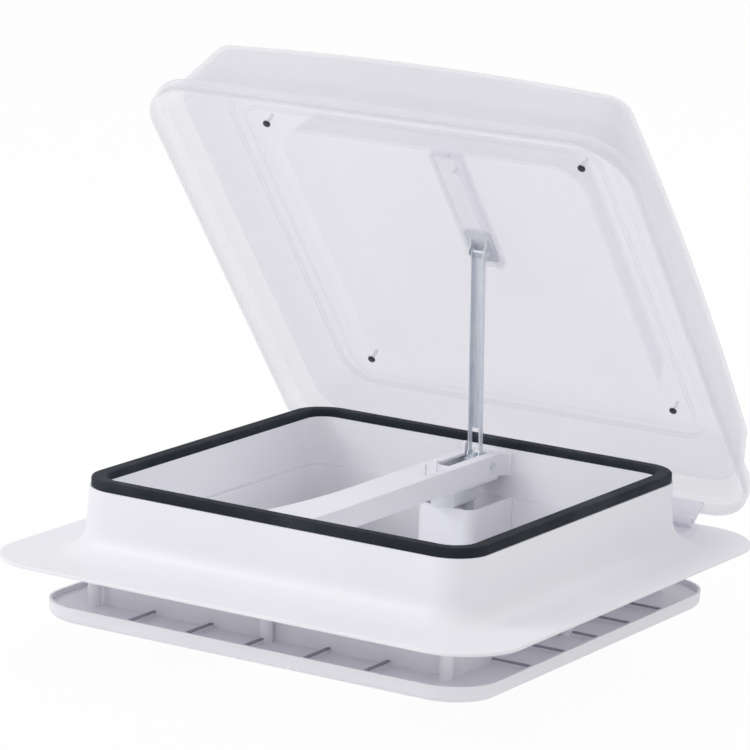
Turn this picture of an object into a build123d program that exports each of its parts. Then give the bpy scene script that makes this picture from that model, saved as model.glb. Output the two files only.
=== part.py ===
from build123d import *
import math
import os

# A crank-lifted roof vent for a caravan: a flanged frame that sits on the roof, a translucent
# double-skinned lid hinged at the back, a lifting arm driven by a worm from a crank in the room,
# and a trim frame screwed up from the ceiling side. Millimetres and degrees.
# Origin: the middle of the roof cut-out, on the roof's outer skin. X runs across the vent,
# +Y to the hinged side and +Z up. The lid is modelled open, as far as the arm lifts it.

os.makedirs("parts", exist_ok=True)

# Clearances
running_fit = 0.05
fixed_fit = 0.03
loose_gap = 0.3
overrun = 1.0

# The roof that the vent is made for
cutout_half = 200.0
roof_thickness = 40.0

# Base frame
flange_width_x = 60.0
flange_width_y = 69.0
flange_corner = 62.0
flange_thickness = 3.0
flange_round = 1.2
collar_step = 2.0
collar_corner = 36.0
collar_draft = 2.5
collar_height = 62.7
foot_sweep = 26.0
skin = 3.0
well_inset = 13.0
well_skin = 2.5
seal_rib_height = 5.2
well_lip = 1.9
seal_rib_thickness = 2.4

# Screw posts round the frames
post_inset = 6.5
post_corner_inset = 18.0
post_radius = 6.25
boss_radius = 5.5
boss_height = 30.0
boss_hole_depth = 24.0

# Seal on top of the collar
seal_width = 14.0
seal_height = 9.0
seal_round = 3.2
seal_foot_round = 0.8

# Crossbar over the well
bar_half = 18.5
bar_drop = 1.7
bar_height = 21.5
bar_wall = 2.5
bar_foot_half = 27.0
bar_foot_thickness = 3.0
bar_foot_sweep = 7.0
bar_edge_round = 0.8
bar_rib_thickness = 2.0
bar_rib_count = 6
slot_half = 8.0
tab_height = 11.0
tab_length = 3.6
tab_thickness = 2.2
tab_near_reach = 88.5
tab_near_pitch = 21.0
tab_far_reach = 3.0
tab_far_length = 7.0

# Lid, in its closed place; its datum is the inner skin's sealing face
lid_open_angle = 50.6
hinge_inset = 7.7
hinge_z = 12.0
lid_overhang_x = 48.0
lid_overhang_y = 50.0
lid_corner = 55.0
lid_rim_drop = 47.8
lid_rim_height = 14.0
lid_shelf = 10.0
lid_wall_rise = 66.0
lid_wall_lean_x = 26.0
lid_wall_lean_y = 18.0
lid_crown_top = 45.2
lid_crown_radius = 2866.0
lid_shoulder_round = 13.0
lid_skin = 3.0
lid_boss_radius = 5.0

# Inner skin of the lid
pane_skin = 2.0
pane_ridge_drop = 3.3
pane_ridge_offset = 5.0
pane_ridge_width = 15.0
pane_wall_gap = 0.4
pane_skirt_drop = 20.0
pane_panel_rise = 30.2
pane_panel_inset = 37.0
pane_panel_lean = 10.0
pane_panel_corner = 24.0
pane_screw_inset = 23.0

# Guide rail on the inner skin and the shoe that slides in it
rail_half = 16.0
rail_height = 9.8
rail_wall = 1.7
rail_mouth_half = 10.6
rail_front_gap = 25.0
rail_end_gap = 5.3995
shoe_half = 13.4
shoe_thickness = 2.6
shoe_length = 40.0
shoe_cheek_half = 9.1
shoe_cheek_thickness = 1.8
shoe_cheek_length = 24.0
shoe_pin_radius = 1.9
shoe_pin_drop = 13.0
shoe_eye_radius = 4.6

# Lifting arm, a steel channel forked at its foot
pivot_inset = 23.5
pivot_drop = 9.0
arm_length = 203.0
arm_half = 6.5
arm_depth = 6.4
arm_steel = 1.2
arm_fork_length = 33.0
arm_flare_length = 13.0
arm_foot_radius = 7.4
arm_pin_radius = 2.5
arm_head_radius = 4.2
arm_head_height = 1.6
shoe_head_height = 1.1

# Worm and gear sector
gear_module = 0.8
gear_teeth = 26
gear_first_tooth = -1
gear_last_tooth = 7
gear_width = 4.0
gear_hub_radius = 7.5
gear_backlash = 0.3
pressure_angle = 20.0
rivet_circle = 4.8
rivet_radius = 1.1
worm_pitch_radius = 4.0
worm_length = 14.0
worm_core_bore = 1.9

# Gear housing under the crossbar
housing_plate = 2.5
housing_half = 12.0
housing_front_reach = 55.5
housing_drop = 17.0
sleeve_radius = 8.0
sleeve_length = 10.0
bush_radius = 5.0
bush_length = 9.0
housing_boss_radius = 3.0
housing_boss_x = 12.4
housing_boss_front_reach = 66.5
housing_boss_back_reach = 9.0
shaft_radius = 3.0

# Crank in the room
handle_hub_radius = 8.0
handle_hub_height = 12.0
handle_reach = 50.0
handle_width = 12.0
handle_thickness = 5.0
knob_radius = 10.0
knob_length = 26.0
knob_round = 4.0
knob_axle_radius = 2.5

# Trim frame on the ceiling
trim_lap_x = 27.5
trim_lap_y = 30.5
trim_corner = 47.0
trim_height = 15.5
trim_trough = 4.5
trim_floor = 2.5
trim_wall = 2.5
trim_round = 8.0
trim_collar_gap = 0.4
trim_collar_wall = 2.4
trim_collar_top = 18.0
trim_rib_thickness = 2.0
post_top_gap = 3.0

# Crank housing, a cup in the trim frame
cup_half = 31.0
cup_front_reach = 40.1
cup_top = 19.6
cup_wall = 2.2
cup_corner = 12.0
cup_bottom_drop = 14.0

# Flyscreen under the trim frame
screen_inset = 21.5
screen_border = 28.0
screen_thickness = 5.0
screen_corner = 26.0
screen_rebate = 5.0
screen_rebate_depth = 2.5
screen_notch_border = 8.0
net_thickness = 0.6
net_gaps = 11
net_strand = 2.4
snap_width = 16.0
snap_height = 14.0
snap_thickness = 1.6
snap_place = 120.0

# Hinge along the back
hinge_end_inset = 60.0
hinge_knuckles = 9
knuckle_radius = 5.0
hinge_pin_radius = 2.0
hinge_leaf = 2.0
hinge_foot_width = 20.0
hinge_screw_count = 5
knuckle_gap = 0.4

# Screws and rivets
screw_radius = 1.75
screw_head_radius = 3.6
screw_head_height = 2.0
small_screw_radius = 1.3
small_head_radius = 2.6
small_head_height = 1.5
small_screw_length = 9.0
frame_screw_reach = 22.0

# Worked out from the sizes above
collar_half = cutout_half + collar_step
well_half = cutout_half - well_inset
flange_half_x = collar_half + flange_width_x
flange_half_y = collar_half + flange_width_y
lid_half_x = collar_half + lid_overhang_x
lid_half_y = collar_half + lid_overhang_y
hinge_y = lid_half_y - hinge_inset
hinge_half_length = lid_half_x - hinge_end_inset
post_corner_x = cutout_half - post_corner_inset
bar_top = collar_height - bar_drop
pivot_y = well_half - pivot_inset
pivot_z = bar_top - pivot_drop
tab_near_places_y = (pivot_y - tab_near_reach - tab_near_pitch, pivot_y - tab_near_reach)
tab_far_y = pivot_y - tab_far_reach
housing_front_y = pivot_y - housing_front_reach
housing_boss_places_y = (pivot_y - housing_boss_front_reach, pivot_y + housing_boss_back_reach)
pane_ridge_half = well_half + pane_ridge_offset
pane_panel_half = well_half - pane_panel_inset
pane_screw_half = well_half - pane_screw_inset
rail_front = pane_panel_half - rail_front_gap
trim_half_x = cutout_half + trim_lap_x
trim_half_y = cutout_half + trim_lap_y
trim_collar_half = well_half - trim_collar_gap
screen_half = trim_half_x - screen_inset
well_corner = collar_corner - (collar_half - well_half)
seal_base = collar_height
seal_top = seal_base + seal_height
bar_bottom = bar_top - bar_height
lid_datum = seal_top + loose_gap + pane_ridge_drop
rim_bottom = lid_datum - lid_rim_drop
shelf_level = rim_bottom + lid_rim_height
wall_half_x = lid_half_x - lid_shelf
wall_half_y = lid_half_y - lid_shelf
panel_under = lid_datum + pane_panel_rise
rail_under = panel_under - rail_height
shoe_level = rail_under + rail_wall + (rail_height - 2 * rail_wall) / 2
pin_line = panel_under - shoe_pin_drop
gear_radius = gear_module * gear_teeth / 2
worm_y = pivot_y - gear_radius - worm_pitch_radius
trim_top = -roof_thickness
trim_under = trim_top - trim_trough - trim_floor
post_line = cutout_half - post_inset
post_places = [
    (sx * post_corner_x, sy * post_line) for sx in (-1, 1) for sy in (-1, 1)
] + [(0, post_line), (0, -post_line), (post_line, 0), (-post_line, 0)]
cup_front_y = worm_y - cup_front_reach
cup_back_y = trim_collar_half - trim_collar_wall - loose_gap
cup_bottom = trim_top - cup_bottom_drop
shaft_bottom = cup_bottom - handle_hub_height


def rounded_block(half_x, half_y, corner, low, high):
    """Upright block with a rounded rectangular plan."""
    plan = Plane.XY.offset(low) * RectangleRounded(2 * half_x, 2 * half_y, corner)
    return extrude(plan, high - low)


def drafted_block(low_x, low_y, low_corner, low, high_x, high_y, high_corner, high):
    """Block that changes evenly from one rounded rectangle to another."""
    foot = Plane.XY.offset(low) * RectangleRounded(2 * low_x, 2 * low_y, low_corner)
    head = Plane.XY.offset(high) * RectangleRounded(2 * high_x, 2 * high_y, high_corner)
    return loft([foot.faces()[0], head.faces()[0]], ruled=True)


def block(low_x, high_x, low_y, high_y, low_z, high_z):
    """Plain block between six planes."""
    size = (high_x - low_x, high_y - low_y, high_z - low_z)
    middle = ((low_x + high_x) / 2, (low_y + high_y) / 2, (low_z + high_z) / 2)
    return Pos(*middle) * Box(*size)


def rod(radius, start, end):
    """Round bar from one point to another, along an axis of the frame."""
    first = Vector(*start)
    way = Vector(*end) - first
    bar = Cylinder(radius, way.length, align=(Align.CENTER, Align.CENTER, Align.MIN))
    return Plane(first, z_dir=way) * bar


def screw(point, way, shank, length, head_radius, head_height):
    """Pan-head screw: the head stands on the point, the shank runs along the way."""
    direction = Vector(*way).normalized()
    seat = Vector(*point)
    head_end = seat - direction * head_height
    head = rod(head_radius, seat, head_end)
    head = chamfer(head.edges().filter_by(GeomType.CIRCLE).sort_by_distance(head_end)[:1], head_height / 3)
    return head + rod(shank, seat, seat + direction * length)


def keep(shape, name):
    """Write one sub-part."""
    export_step(shape, "parts/" + name + ".step")


def group(solids):
    """Several separate solids as one sub-part."""
    return Compound(children=[solid for shape in solids for solid in shape.solids()])


def opened(shape):
    """A lid piece, turned from its closed place to the open one."""
    return shape.rotate(Axis((0, hinge_y, hinge_z), (-1, 0, 0)), lid_open_angle)


def flared_collar(half, corner, height, plate_x, plate_y, plate_low, plate_high, sweep_radius):
    """Collar on a plate, joined by a concave sweep all round."""
    foot_half = half + collar_draft
    plate = rounded_block(plate_x, plate_y, flange_corner, plate_low, plate_high)
    collar = drafted_block(foot_half, foot_half, corner, plate_high, half, half, corner, height)
    solid = plate + collar
    foot_edges = [
        edge for edge in solid.edges()
        if abs(edge.center().Z - plate_high) < loose_gap
        and max(abs(edge.center().X), abs(edge.center().Y)) < foot_half + skin
    ]
    return fillet(foot_edges, sweep_radius)


def build_base_frame():
    """Flange and hollow collar in one moulding, with the bosses for the frame screws."""
    outside = flared_collar(
        collar_half, collar_corner, collar_height, flange_half_x, flange_half_y,
        0, flange_thickness, foot_sweep)
    top_rim = [
        edge for edge in outside.edges()
        if abs(edge.center().Z - flange_thickness) < loose_gap
        and max(abs(edge.center().X), abs(edge.center().Y)) > flange_half_x - flange_corner / 2
    ]
    outside = fillet(top_rim, flange_round)
    hollow = flared_collar(
        collar_half - skin, collar_corner - skin, collar_height - skin,
        flange_half_x, flange_half_y, -skin, 0, foot_sweep + skin)
    lining_half = well_half + well_skin
    lining = rounded_block(lining_half, lining_half, well_corner + well_skin, 0, collar_height + well_lip)
    frame = outside - hollow + lining
    for x, y in post_places:
        frame += rod(boss_radius, (x, y, 0), (x, y, boss_height))
    frame -= rounded_block(well_half, well_half, well_corner, -overrun, collar_height + well_lip + overrun)
    rib_middle = (well_half + well_half + seal_width) / 2
    rib_corner = well_corner + seal_width / 2
    half_rib = seal_rib_thickness / 2
    rib_top = collar_height + seal_rib_height
    rib = rounded_block(rib_middle + half_rib, rib_middle + half_rib, rib_corner + half_rib,
                        collar_height, rib_top)
    rib -= rounded_block(rib_middle - half_rib, rib_middle - half_rib, rib_corner - half_rib,
                         collar_height - overrun, rib_top + overrun)
    frame += rib
    for x, y in post_places:
        frame -= rod(screw_radius + running_fit, (x, y, -overrun), (x, y, boss_hole_depth))
    for x, y, z, way in bar_screw_places():
        frame -= rod(small_screw_radius + running_fit, (x, y, z), (x, y + way * small_screw_length, z))
    for x in hinge_screw_places():
        frame -= rod(screw_radius + running_fit, (x, hinge_foot_y(), -overrun),
                     (x, hinge_foot_y(), flange_thickness + overrun))
    return frame


def build_seal():
    """Rubber seal: sits on the collar, over its rib and its inner lip, with a rounded top."""
    def ring(inner, outer, low, high):
        """Closed band between two offsets from the well's wall."""
        band = rounded_block(well_half + outer, well_half + outer, well_corner + outer, low, high)
        return band - rounded_block(well_half + inner, well_half + inner, well_corner + inner,
                                    low - overrun, high + overrun)

    seal = ring(0, seal_width, seal_base, seal_top)
    seal = fillet(seal.edges().group_by(Axis.Z)[-1], seal_round)
    outer_foot = [edge for edge in seal.edges().group_by(Axis.Z)[0]
                  if max(abs(edge.center().X), abs(edge.center().Y)) > well_half + seal_width / 2]
    seal = fillet(outer_foot, seal_foot_round)
    seal -= ring(-overrun, well_skin + fixed_fit, seal_base - overrun, seal_base + well_lip + fixed_fit)
    rib_start = (seal_width - seal_rib_thickness) / 2 - fixed_fit
    return seal - ring(rib_start, seal_width - rib_start, seal_base - overrun,
                       seal_base + seal_rib_height + fixed_fit)


def bar_screw_places():
    """Screws inside the channel that hold the crossbar's ends to the collar: place and way."""
    x = (bar_half - bar_wall) / 2
    z = bar_top - bar_height / 2
    seat = well_half - bar_foot_thickness
    return [(sx * x, sy * seat, z, sy) for sx in (-1, 1) for sy in (-1, 1)]


def housing_boss_places():
    """Screw bosses that carry the gear housing under the crossbar."""
    return [(sx * housing_boss_x, y) for sx in (-1, 1) for y in housing_boss_places_y]


def build_crossbar():
    """Channel across the well, open below, with flared feet, ribs, arm slot and locating tabs."""
    plan = Rectangle(2 * bar_half, 2 * well_half)
    for side in (-1, 1):
        foot_middle = side * (well_half - bar_foot_thickness / 2)
        plan += Pos(0, foot_middle) * Rectangle(2 * bar_foot_half, bar_foot_thickness)
    corners = [
        vertex for vertex in plan.vertices()
        if abs(abs(vertex.X) - bar_half) < loose_gap
        and abs(abs(vertex.Y) - (well_half - bar_foot_thickness)) < loose_gap
    ]
    plan = fillet(corners, bar_foot_sweep)
    bar = extrude(Plane.XY.offset(bar_bottom) * plan, bar_height)
    long_edges = [
        edge for edge in bar.edges().filter_by(Axis.Y)
        if abs(edge.center().Z - bar_top) < loose_gap and edge.length > well_half
    ]
    bar = fillet(long_edges, bar_edge_round)
    inner = bar_half - bar_wall
    inner_y = well_half - bar_foot_thickness
    inside = block(-inner, inner, -inner_y, inner_y, bar_bottom - overrun, bar_top - bar_wall)
    bar -= inside
    rib_start = -inner_y
    rib_end = min(housing_boss_places_y) - 2 * housing_boss_radius
    pitch = (rib_end - rib_start) / (bar_rib_count + 1)
    half_rib = bar_rib_thickness / 2
    for index in range(bar_rib_count):
        y = rib_start + (index + 1) * pitch
        low = bar_bottom + bar_height / 3
        bar += block(-inner, inner, y - half_rib, y + half_rib, low, bar_top - bar_wall)
    for x, y in housing_boss_places():
        bar += rod(housing_boss_radius, (x, y, bar_bottom), (x, y, bar_top - bar_wall))
    slot_front, slot_back = slot_ends()
    bar -= block(-slot_half, slot_half, slot_front, slot_back, bar_bottom, bar_top + overrun)
    for y in tab_near_places_y:
        bar += build_tab(slot_half + fixed_fit, y, tab_length)
    bar += build_tab(-slot_half - fixed_fit - tab_thickness, tab_far_y, tab_far_length)
    for x, y in housing_boss_places():
        bar -= rod(small_screw_radius + running_fit, (x, y, bar_bottom - overrun),
                   (x, y, bar_bottom + small_screw_length))
    for x, y, z, way in bar_screw_places():
        bar -= rod(small_screw_radius + running_fit, (x, y - way * overrun, z),
                   (x, y + way * (bar_foot_thickness + overrun), z))
    bar -= rod(arm_pin_radius + fixed_fit, (-bar_half - overrun, pivot_y, pivot_z),
               (bar_half + overrun, pivot_y, pivot_z))
    return bar


def slot_ends():
    """Front and back ends of the slot, past the closed arm and behind its foot."""
    closed_slope = math.tan(math.radians(180 - arm_angle(0)))
    rise = bar_top - pivot_z + arm_depth / 2
    front = pivot_y - rise / closed_slope - arm_depth / 2
    return front, pivot_y + arm_foot_radius + 2 * overrun


def build_tab(x, y, length):
    """Small round-topped upright beside the arm's path that keeps the closed arm in line."""
    half = length / 2
    rise = tab_height - half
    plan = Pos(y, bar_top + (rise - bar_wall) / 2) * Rectangle(length, rise + bar_wall)
    plan += Pos(y, bar_top + rise) * Circle(half)
    return extrude(Plane.YZ.offset(x) * plan, tab_thickness)


def arm_angle(lid_angle):
    """Angle of the arm above +Y that keeps its upper pin on the rail's line."""
    turn = math.radians(lid_angle)
    foot = (pivot_y - hinge_y) * math.sin(turn) + (pivot_z - hinge_z) * math.cos(turn)
    reach = (pin_line - hinge_z - foot) / arm_length
    return 180 - math.degrees(math.asin(reach)) - lid_angle


def build_lid_block(inset):
    """Closed outer form of the lid, drawn in by the inset: rim, shelf, leaning walls, crown."""
    rim_low = rim_bottom - min(inset, overrun)
    rim = rounded_block(lid_half_x - inset, lid_half_y - inset, lid_corner - inset,
                        rim_low, shelf_level - inset)
    top = shelf_level + lid_wall_rise + lid_wall_rise / 2
    growth = (top - shelf_level) / lid_wall_rise
    low = shelf_level - inset - overrun
    lean_back = (shelf_level - low) / lid_wall_rise
    slant = inset * math.hypot(1, lid_wall_lean_x / lid_wall_rise)
    start_x = wall_half_x + lid_wall_lean_x * lean_back - slant
    start_y = wall_half_y + lid_wall_lean_y * lean_back - slant
    end_x = wall_half_x - lid_wall_lean_x * growth - slant
    end_y = wall_half_y - lid_wall_lean_y * growth - slant
    corner = lid_corner - lid_shelf
    walls = drafted_block(start_x, start_y, corner, low,
                          end_x, end_y, corner - lid_wall_lean_y, top)
    crown_top = lid_datum + lid_crown_top - inset
    crown = Pos(0, 0, crown_top - lid_crown_radius + inset) * Sphere(lid_crown_radius - inset)
    walls = walls & crown
    shoulder = [
        edge for edge in walls.edges()
        if edge.center().Z > shelf_level + lid_wall_rise / 2 and edge.geom_type != GeomType.LINE
        and abs(edge.bounding_box().max.Z - edge.bounding_box().min.Z) < lid_wall_rise / 3
    ]
    walls = fillet(shoulder, lid_shoulder_round - inset)
    return rim + walls


def build_lid_dome():
    """Outer skin of the lid, with four bosses that the inner skin is screwed to."""
    dome = build_lid_block(0) - build_lid_block(lid_skin)
    for x, y in pane_screw_places():
        spread = (x * x + y * y) / (2 * lid_crown_radius)
        boss_top = lid_datum + lid_crown_top - spread - lid_skin / 2
        dome += rod(lid_boss_radius, (x, y, lid_datum + pane_skin), (x, y, boss_top))
        dome -= rod(screw_radius + running_fit, (x, y, lid_datum),
                    (x, y, lid_datum + pane_skin + small_screw_length + overrun))
    for x in hinge_screw_places():
        z = lid_leaf_screw_z()
        dome -= rod(small_screw_radius + running_fit, (x, lid_half_y - 2 * lid_skin, z),
                    (x, lid_half_y + overrun, z))
    return dome


def pane_screw_places():
    """The four screws of the inner skin."""
    return [(sx * pane_screw_half, sy * pane_screw_half) for sx in (-1, 1) for sy in (-1, 1)]


def pane_half(base, lean, height):
    """Half size of the inner skin's outside at a height from the datum."""
    shelf_rise = lid_datum + height - shelf_level
    slope = lean / lid_wall_rise
    return base - slope * shelf_rise - (lid_skin + pane_wall_gap) * math.hypot(1, slope)


def build_inner_skin():
    """Formed inner skin: skirt along the lid's wall, sealing ridge, raised middle panel."""
    ridge_corner = well_corner + pane_ridge_half - well_half

    def form(inset, low_over):
        """Outside of the formed sheet, or its inside when drawn in."""
        high = pane_skin - inset
        low = -pane_skirt_drop - low_over
        corner = lid_corner - lid_shelf - lid_skin
        tray = drafted_block(
            pane_half(wall_half_x, lid_wall_lean_x, low) - inset,
            pane_half(wall_half_y, lid_wall_lean_y, low) - inset, corner - inset, lid_datum + low,
            pane_half(wall_half_x, lid_wall_lean_x, high) - inset,
            pane_half(wall_half_y, lid_wall_lean_y, high) - inset, corner - pane_skirt_drop / 4 - inset,
            lid_datum + high)
        panel_high = lid_datum + pane_panel_rise + pane_skin - inset
        foot = pane_panel_half + pane_panel_lean - inset
        head = pane_panel_half - inset
        panel = drafted_block(foot, foot, pane_panel_corner + pane_panel_lean - inset,
                              lid_datum + high - overrun,
                              head, head, pane_panel_corner - inset, panel_high)
        ridge = rounded_block(
            pane_ridge_half + pane_ridge_width / 2 - inset, pane_ridge_half + pane_ridge_width / 2 - inset,
            ridge_corner + pane_ridge_width / 2 - inset, lid_datum - pane_ridge_drop + inset,
            lid_datum + inset)
        ridge -= rounded_block(
            pane_ridge_half - pane_ridge_width / 2 + inset, pane_ridge_half - pane_ridge_width / 2 + inset,
            ridge_corner - pane_ridge_width / 2 + inset, lid_datum - pane_ridge_drop - overrun,
            lid_datum + pane_skin + overrun)
        return tray + panel, ridge

    outside, ridge_outside = form(0, 0)
    inside, ridge_inside = form(pane_skin, overrun)
    skin_solid = outside - inside + ridge_outside - ridge_inside
    for x, y in pane_screw_places():
        skin_solid -= rod(screw_radius + running_fit, (x, y, lid_datum - overrun),
                          (x, y, lid_datum + pane_skin + overrun))
    for y in rail_screw_places():
        skin_solid -= rod(small_screw_radius + running_fit, (0, y, panel_under - overrun),
                          (0, y, panel_under + pane_skin + overrun))
    return skin_solid


def rail_back_end():
    """Back end of the rail, a little behind the shoe of the open lid."""
    return closed_pin_y() + shoe_length / 2 + rail_end_gap


def rail_screw_places():
    """Screws at the two ends of the guide rail, past the shoe's travel."""
    end = 2 * small_head_radius
    return [rail_back_end() - end, -rail_front + end, -rail_front + 5 * end]


def build_guide_rail():
    """C-shaped rail, open below, closed at both ends."""
    rail_back = rail_back_end()
    rail = block(-rail_half, rail_half, -rail_front, rail_back, rail_under, panel_under)
    inner = rail_half - rail_wall
    rail -= block(-inner, inner, -rail_front + rail_wall, rail_back - rail_wall,
                  rail_under + rail_wall, panel_under - rail_wall)
    rail -= block(-rail_mouth_half, rail_mouth_half, -rail_front - overrun, rail_back + overrun,
                  rail_under - overrun, rail_under + rail_wall + fixed_fit)
    outer_edges = [
        edge for edge in rail.edges().filter_by(Axis.Y)
        if abs(abs(edge.center().X) - rail_half) < loose_gap and edge.center().Z < panel_under - rail_wall
    ]
    rail = fillet(outer_edges, rail_wall / 2)
    for y in rail_screw_places():
        rail -= rod(small_screw_radius + running_fit, (0, y, rail_under), (0, y, panel_under + overrun))
    return rail


def arm_tip():
    """Place of the arm's upper pin in the open pose."""
    angle = math.radians(arm_angle(lid_open_angle))
    return (pivot_y + arm_length * math.cos(angle), pivot_z + arm_length * math.sin(angle))


def closed_pin_y():
    """Where the upper pin would lie if the open lid, with pin and shoe, were swung shut."""
    tip_y, tip_z = arm_tip()
    turn = math.radians(lid_open_angle)
    return hinge_y + (tip_y - hinge_y) * math.cos(turn) - (tip_z - hinge_z) * math.sin(turn)


def build_shoe():
    """Slider in the rail with two cheeks that hold the arm's upper pin."""
    pin_y = closed_pin_y()
    half = shoe_thickness / 2
    shoe = block(-shoe_half, shoe_half, pin_y - shoe_length / 2, pin_y + shoe_length / 2,
                 shoe_level - half, shoe_level + half)
    shoe = fillet(shoe.edges().filter_by(Axis.Z), shoe_half / 3)
    inner = shoe_cheek_half - shoe_cheek_thickness
    for side in (-1, 1):
        low = min(side * inner, side * shoe_cheek_half)
        plane = Plane.YZ.offset(low)
        shape = Polygon(
            (pin_y - shoe_eye_radius, pin_line), (pin_y + shoe_eye_radius, pin_line),
            (pin_y + shoe_cheek_length / 2, shoe_level), (pin_y - shoe_cheek_length / 2, shoe_level),
            align=None)
        shape += Pos(pin_y, pin_line) * Circle(shoe_eye_radius)
        shoe += extrude(plane * shape, shoe_cheek_thickness)
    shoe -= rod(shoe_pin_radius + fixed_fit, (-shoe_half, pin_y, pin_line), (shoe_half, pin_y, pin_line))
    return shoe


def build_shoe_pin():
    """Headed pin through the shoe's cheeks and the arm's end."""
    pin_y = closed_pin_y()
    head = shoe_cheek_half
    pin = rod(shoe_pin_radius, (-head, pin_y, pin_line), (head, pin_y, pin_line))
    for side in (-1, 1):
        pin += rod(shoe_pin_radius + shoe_pin_radius / 2, (side * head, pin_y, pin_line),
                   (side * (head + shoe_head_height), pin_y, pin_line))
    return pin


def leaned(shape):
    """An arm piece, turned from upright to the arm's open lean."""
    lean = arm_angle(lid_open_angle) - 90
    return shape.rotate(Axis((0, pivot_y, pivot_z), (1, 0, 0)), lean)


def build_arm():
    """Steel channel arm, open to the front, its web cut away at the foot to clear the worm."""
    tip = pivot_z + arm_length
    half = arm_depth / 2
    outline = Polygon(
        (pivot_y - arm_foot_radius, pivot_z), (pivot_y + arm_foot_radius, pivot_z),
        (pivot_y + half, pivot_z + arm_flare_length), (pivot_y + half, tip),
        (pivot_y - half, tip), (pivot_y - half, pivot_z + arm_flare_length), align=None)
    outline += Pos(pivot_y, pivot_z) * Circle(arm_foot_radius)
    outline += Pos(pivot_y, tip) * Circle(half)
    arm = extrude(Plane.YZ.offset(-arm_half) * outline, 2 * arm_half)
    inner = arm_half - arm_steel
    back = pivot_y + half - arm_steel
    arm -= block(-inner, inner, pivot_y - 2 * arm_foot_radius, back,
                 pivot_z - 2 * arm_foot_radius, tip + arm_depth)
    arm -= block(-inner, inner, pivot_y - 2 * arm_foot_radius, pivot_y + 2 * arm_foot_radius,
                 pivot_z - 2 * arm_foot_radius, pivot_z + arm_fork_length)
    arm -= block(-inner, inner, pivot_y, pivot_y + arm_depth, tip - 2 * half, tip + arm_depth)
    back_edges = [
        edge for edge in arm.edges().filter_by(Axis.Z)
        if abs(abs(edge.center().X) - arm_half) < loose_gap and edge.center().Y > pivot_y
        and edge.length > arm_length / 2
    ]
    arm = fillet(back_edges, arm_steel / 2)
    arm -= rod(arm_pin_radius + running_fit, (-arm_half - overrun, pivot_y, pivot_z),
               (arm_half + overrun, pivot_y, pivot_z))
    arm -= rod(shoe_pin_radius + running_fit, (-arm_half - overrun, pivot_y, tip),
               (arm_half + overrun, pivot_y, tip))
    for y, z in rivet_places():
        arm -= rod(rivet_radius + fixed_fit, (-arm_half - overrun, y, z), (arm_half + overrun, y, z))
    return leaned(arm)


def rivet_places():
    """Rivets that fix the gear sector between the arm's cheeks, with the arm upright."""
    return [(pivot_y, pivot_z + side * rivet_circle) for side in (-1, 1)]


def build_gear():
    """Gear sector: a hub between the cheeks and straight-flanked teeth on the worm's side."""
    root = gear_radius - gear_module * 5 / 4
    outer = gear_radius + gear_module
    pitch_angle = 360 / gear_teeth
    slope = math.tan(math.radians(pressure_angle))
    half_pitch = (math.pi * gear_module / 2 - gear_backlash) / 2
    half_root = half_pitch + (gear_radius - root) * slope
    half_tip = half_pitch - (outer - gear_radius) * slope
    wheel = Circle(root)
    sink = root - gear_module
    for index in range(gear_first_tooth, gear_last_tooth + 1):
        tooth = Polygon((sink, -half_root), (root, -half_root), (outer, -half_tip),
                        (outer, half_tip), (root, half_root), (sink, half_root), align=None)
        wheel += Rot(0, 0, 180 - index * pitch_angle) * tooth
    plane = Plane((-gear_width / 2, pivot_y, pivot_z), x_dir=(0, 1, 0), z_dir=(1, 0, 0))
    gear = extrude(plane * wheel, gear_width)
    hub = arm_half - arm_steel - running_fit
    gear += rod(gear_hub_radius, (-hub, pivot_y, pivot_z), (hub, pivot_y, pivot_z))
    gear -= rod(arm_pin_radius + running_fit, (-arm_half, pivot_y, pivot_z), (arm_half, pivot_y, pivot_z))
    rivets = [rod(rivet_radius + fixed_fit, (-arm_half, y, z), (arm_half, y, z)) for y, z in rivet_places()]
    for hole in rivets:
        gear -= leaned(hole)
    return gear


def build_rivets():
    """Two rivets through cheeks and gear hub, with low heads outside."""
    rivets = []
    for y, z in rivet_places():
        shank = rod(rivet_radius, (-arm_half, y, z), (arm_half, y, z))
        for side in (-1, 1):
            shank += rod(rivet_radius * 3 / 2, (side * arm_half, y, z),
                         (side * (arm_half + loose_gap / 2), y, z))
        rivets.append(leaned(shank))
    return group(rivets)


def build_worm():
    """One-start worm, right-handed, cut as a swept thread on a core."""
    lead = math.pi * gear_module
    root = worm_pitch_radius - gear_module * 5 / 4
    outer = worm_pitch_radius + gear_module
    slope = math.tan(math.radians(pressure_angle))
    half_pitch = (lead / 2 - gear_backlash) / 2
    sink = root - gear_module / 4
    half_sink = half_pitch + (worm_pitch_radius - sink) * slope
    half_tip = half_pitch - (outer - worm_pitch_radius) * slope
    low = pivot_z - worm_length / 2
    high = pivot_z + worm_length / 2
    start = pivot_z + lead / 2 - lead / 4 - lead * math.ceil(worm_length / 2 / lead + 1)
    turns = math.ceil(worm_length / lead + 3)
    path = Pos(0, worm_y, start) * Helix(lead, lead * turns, worm_pitch_radius)
    section = Plane((0, worm_y, start), x_dir=(1, 0, 0), z_dir=(0, -1, 0)) * Polygon(
        (sink, -half_sink), (outer, -half_tip), (outer, half_tip), (sink, half_sink), align=None)
    thread = sweep(section, path=path, is_frenet=True)
    thread = thread & rod(outer + overrun, (0, worm_y, low), (0, worm_y, high))
    core = rod(root, (0, worm_y, bar_bottom + loose_gap), (0, worm_y, high))
    worm = core + thread
    worm -= rod(worm_core_bore + fixed_fit, (0, worm_y, bar_bottom), (0, worm_y, high + overrun))
    return worm


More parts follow.
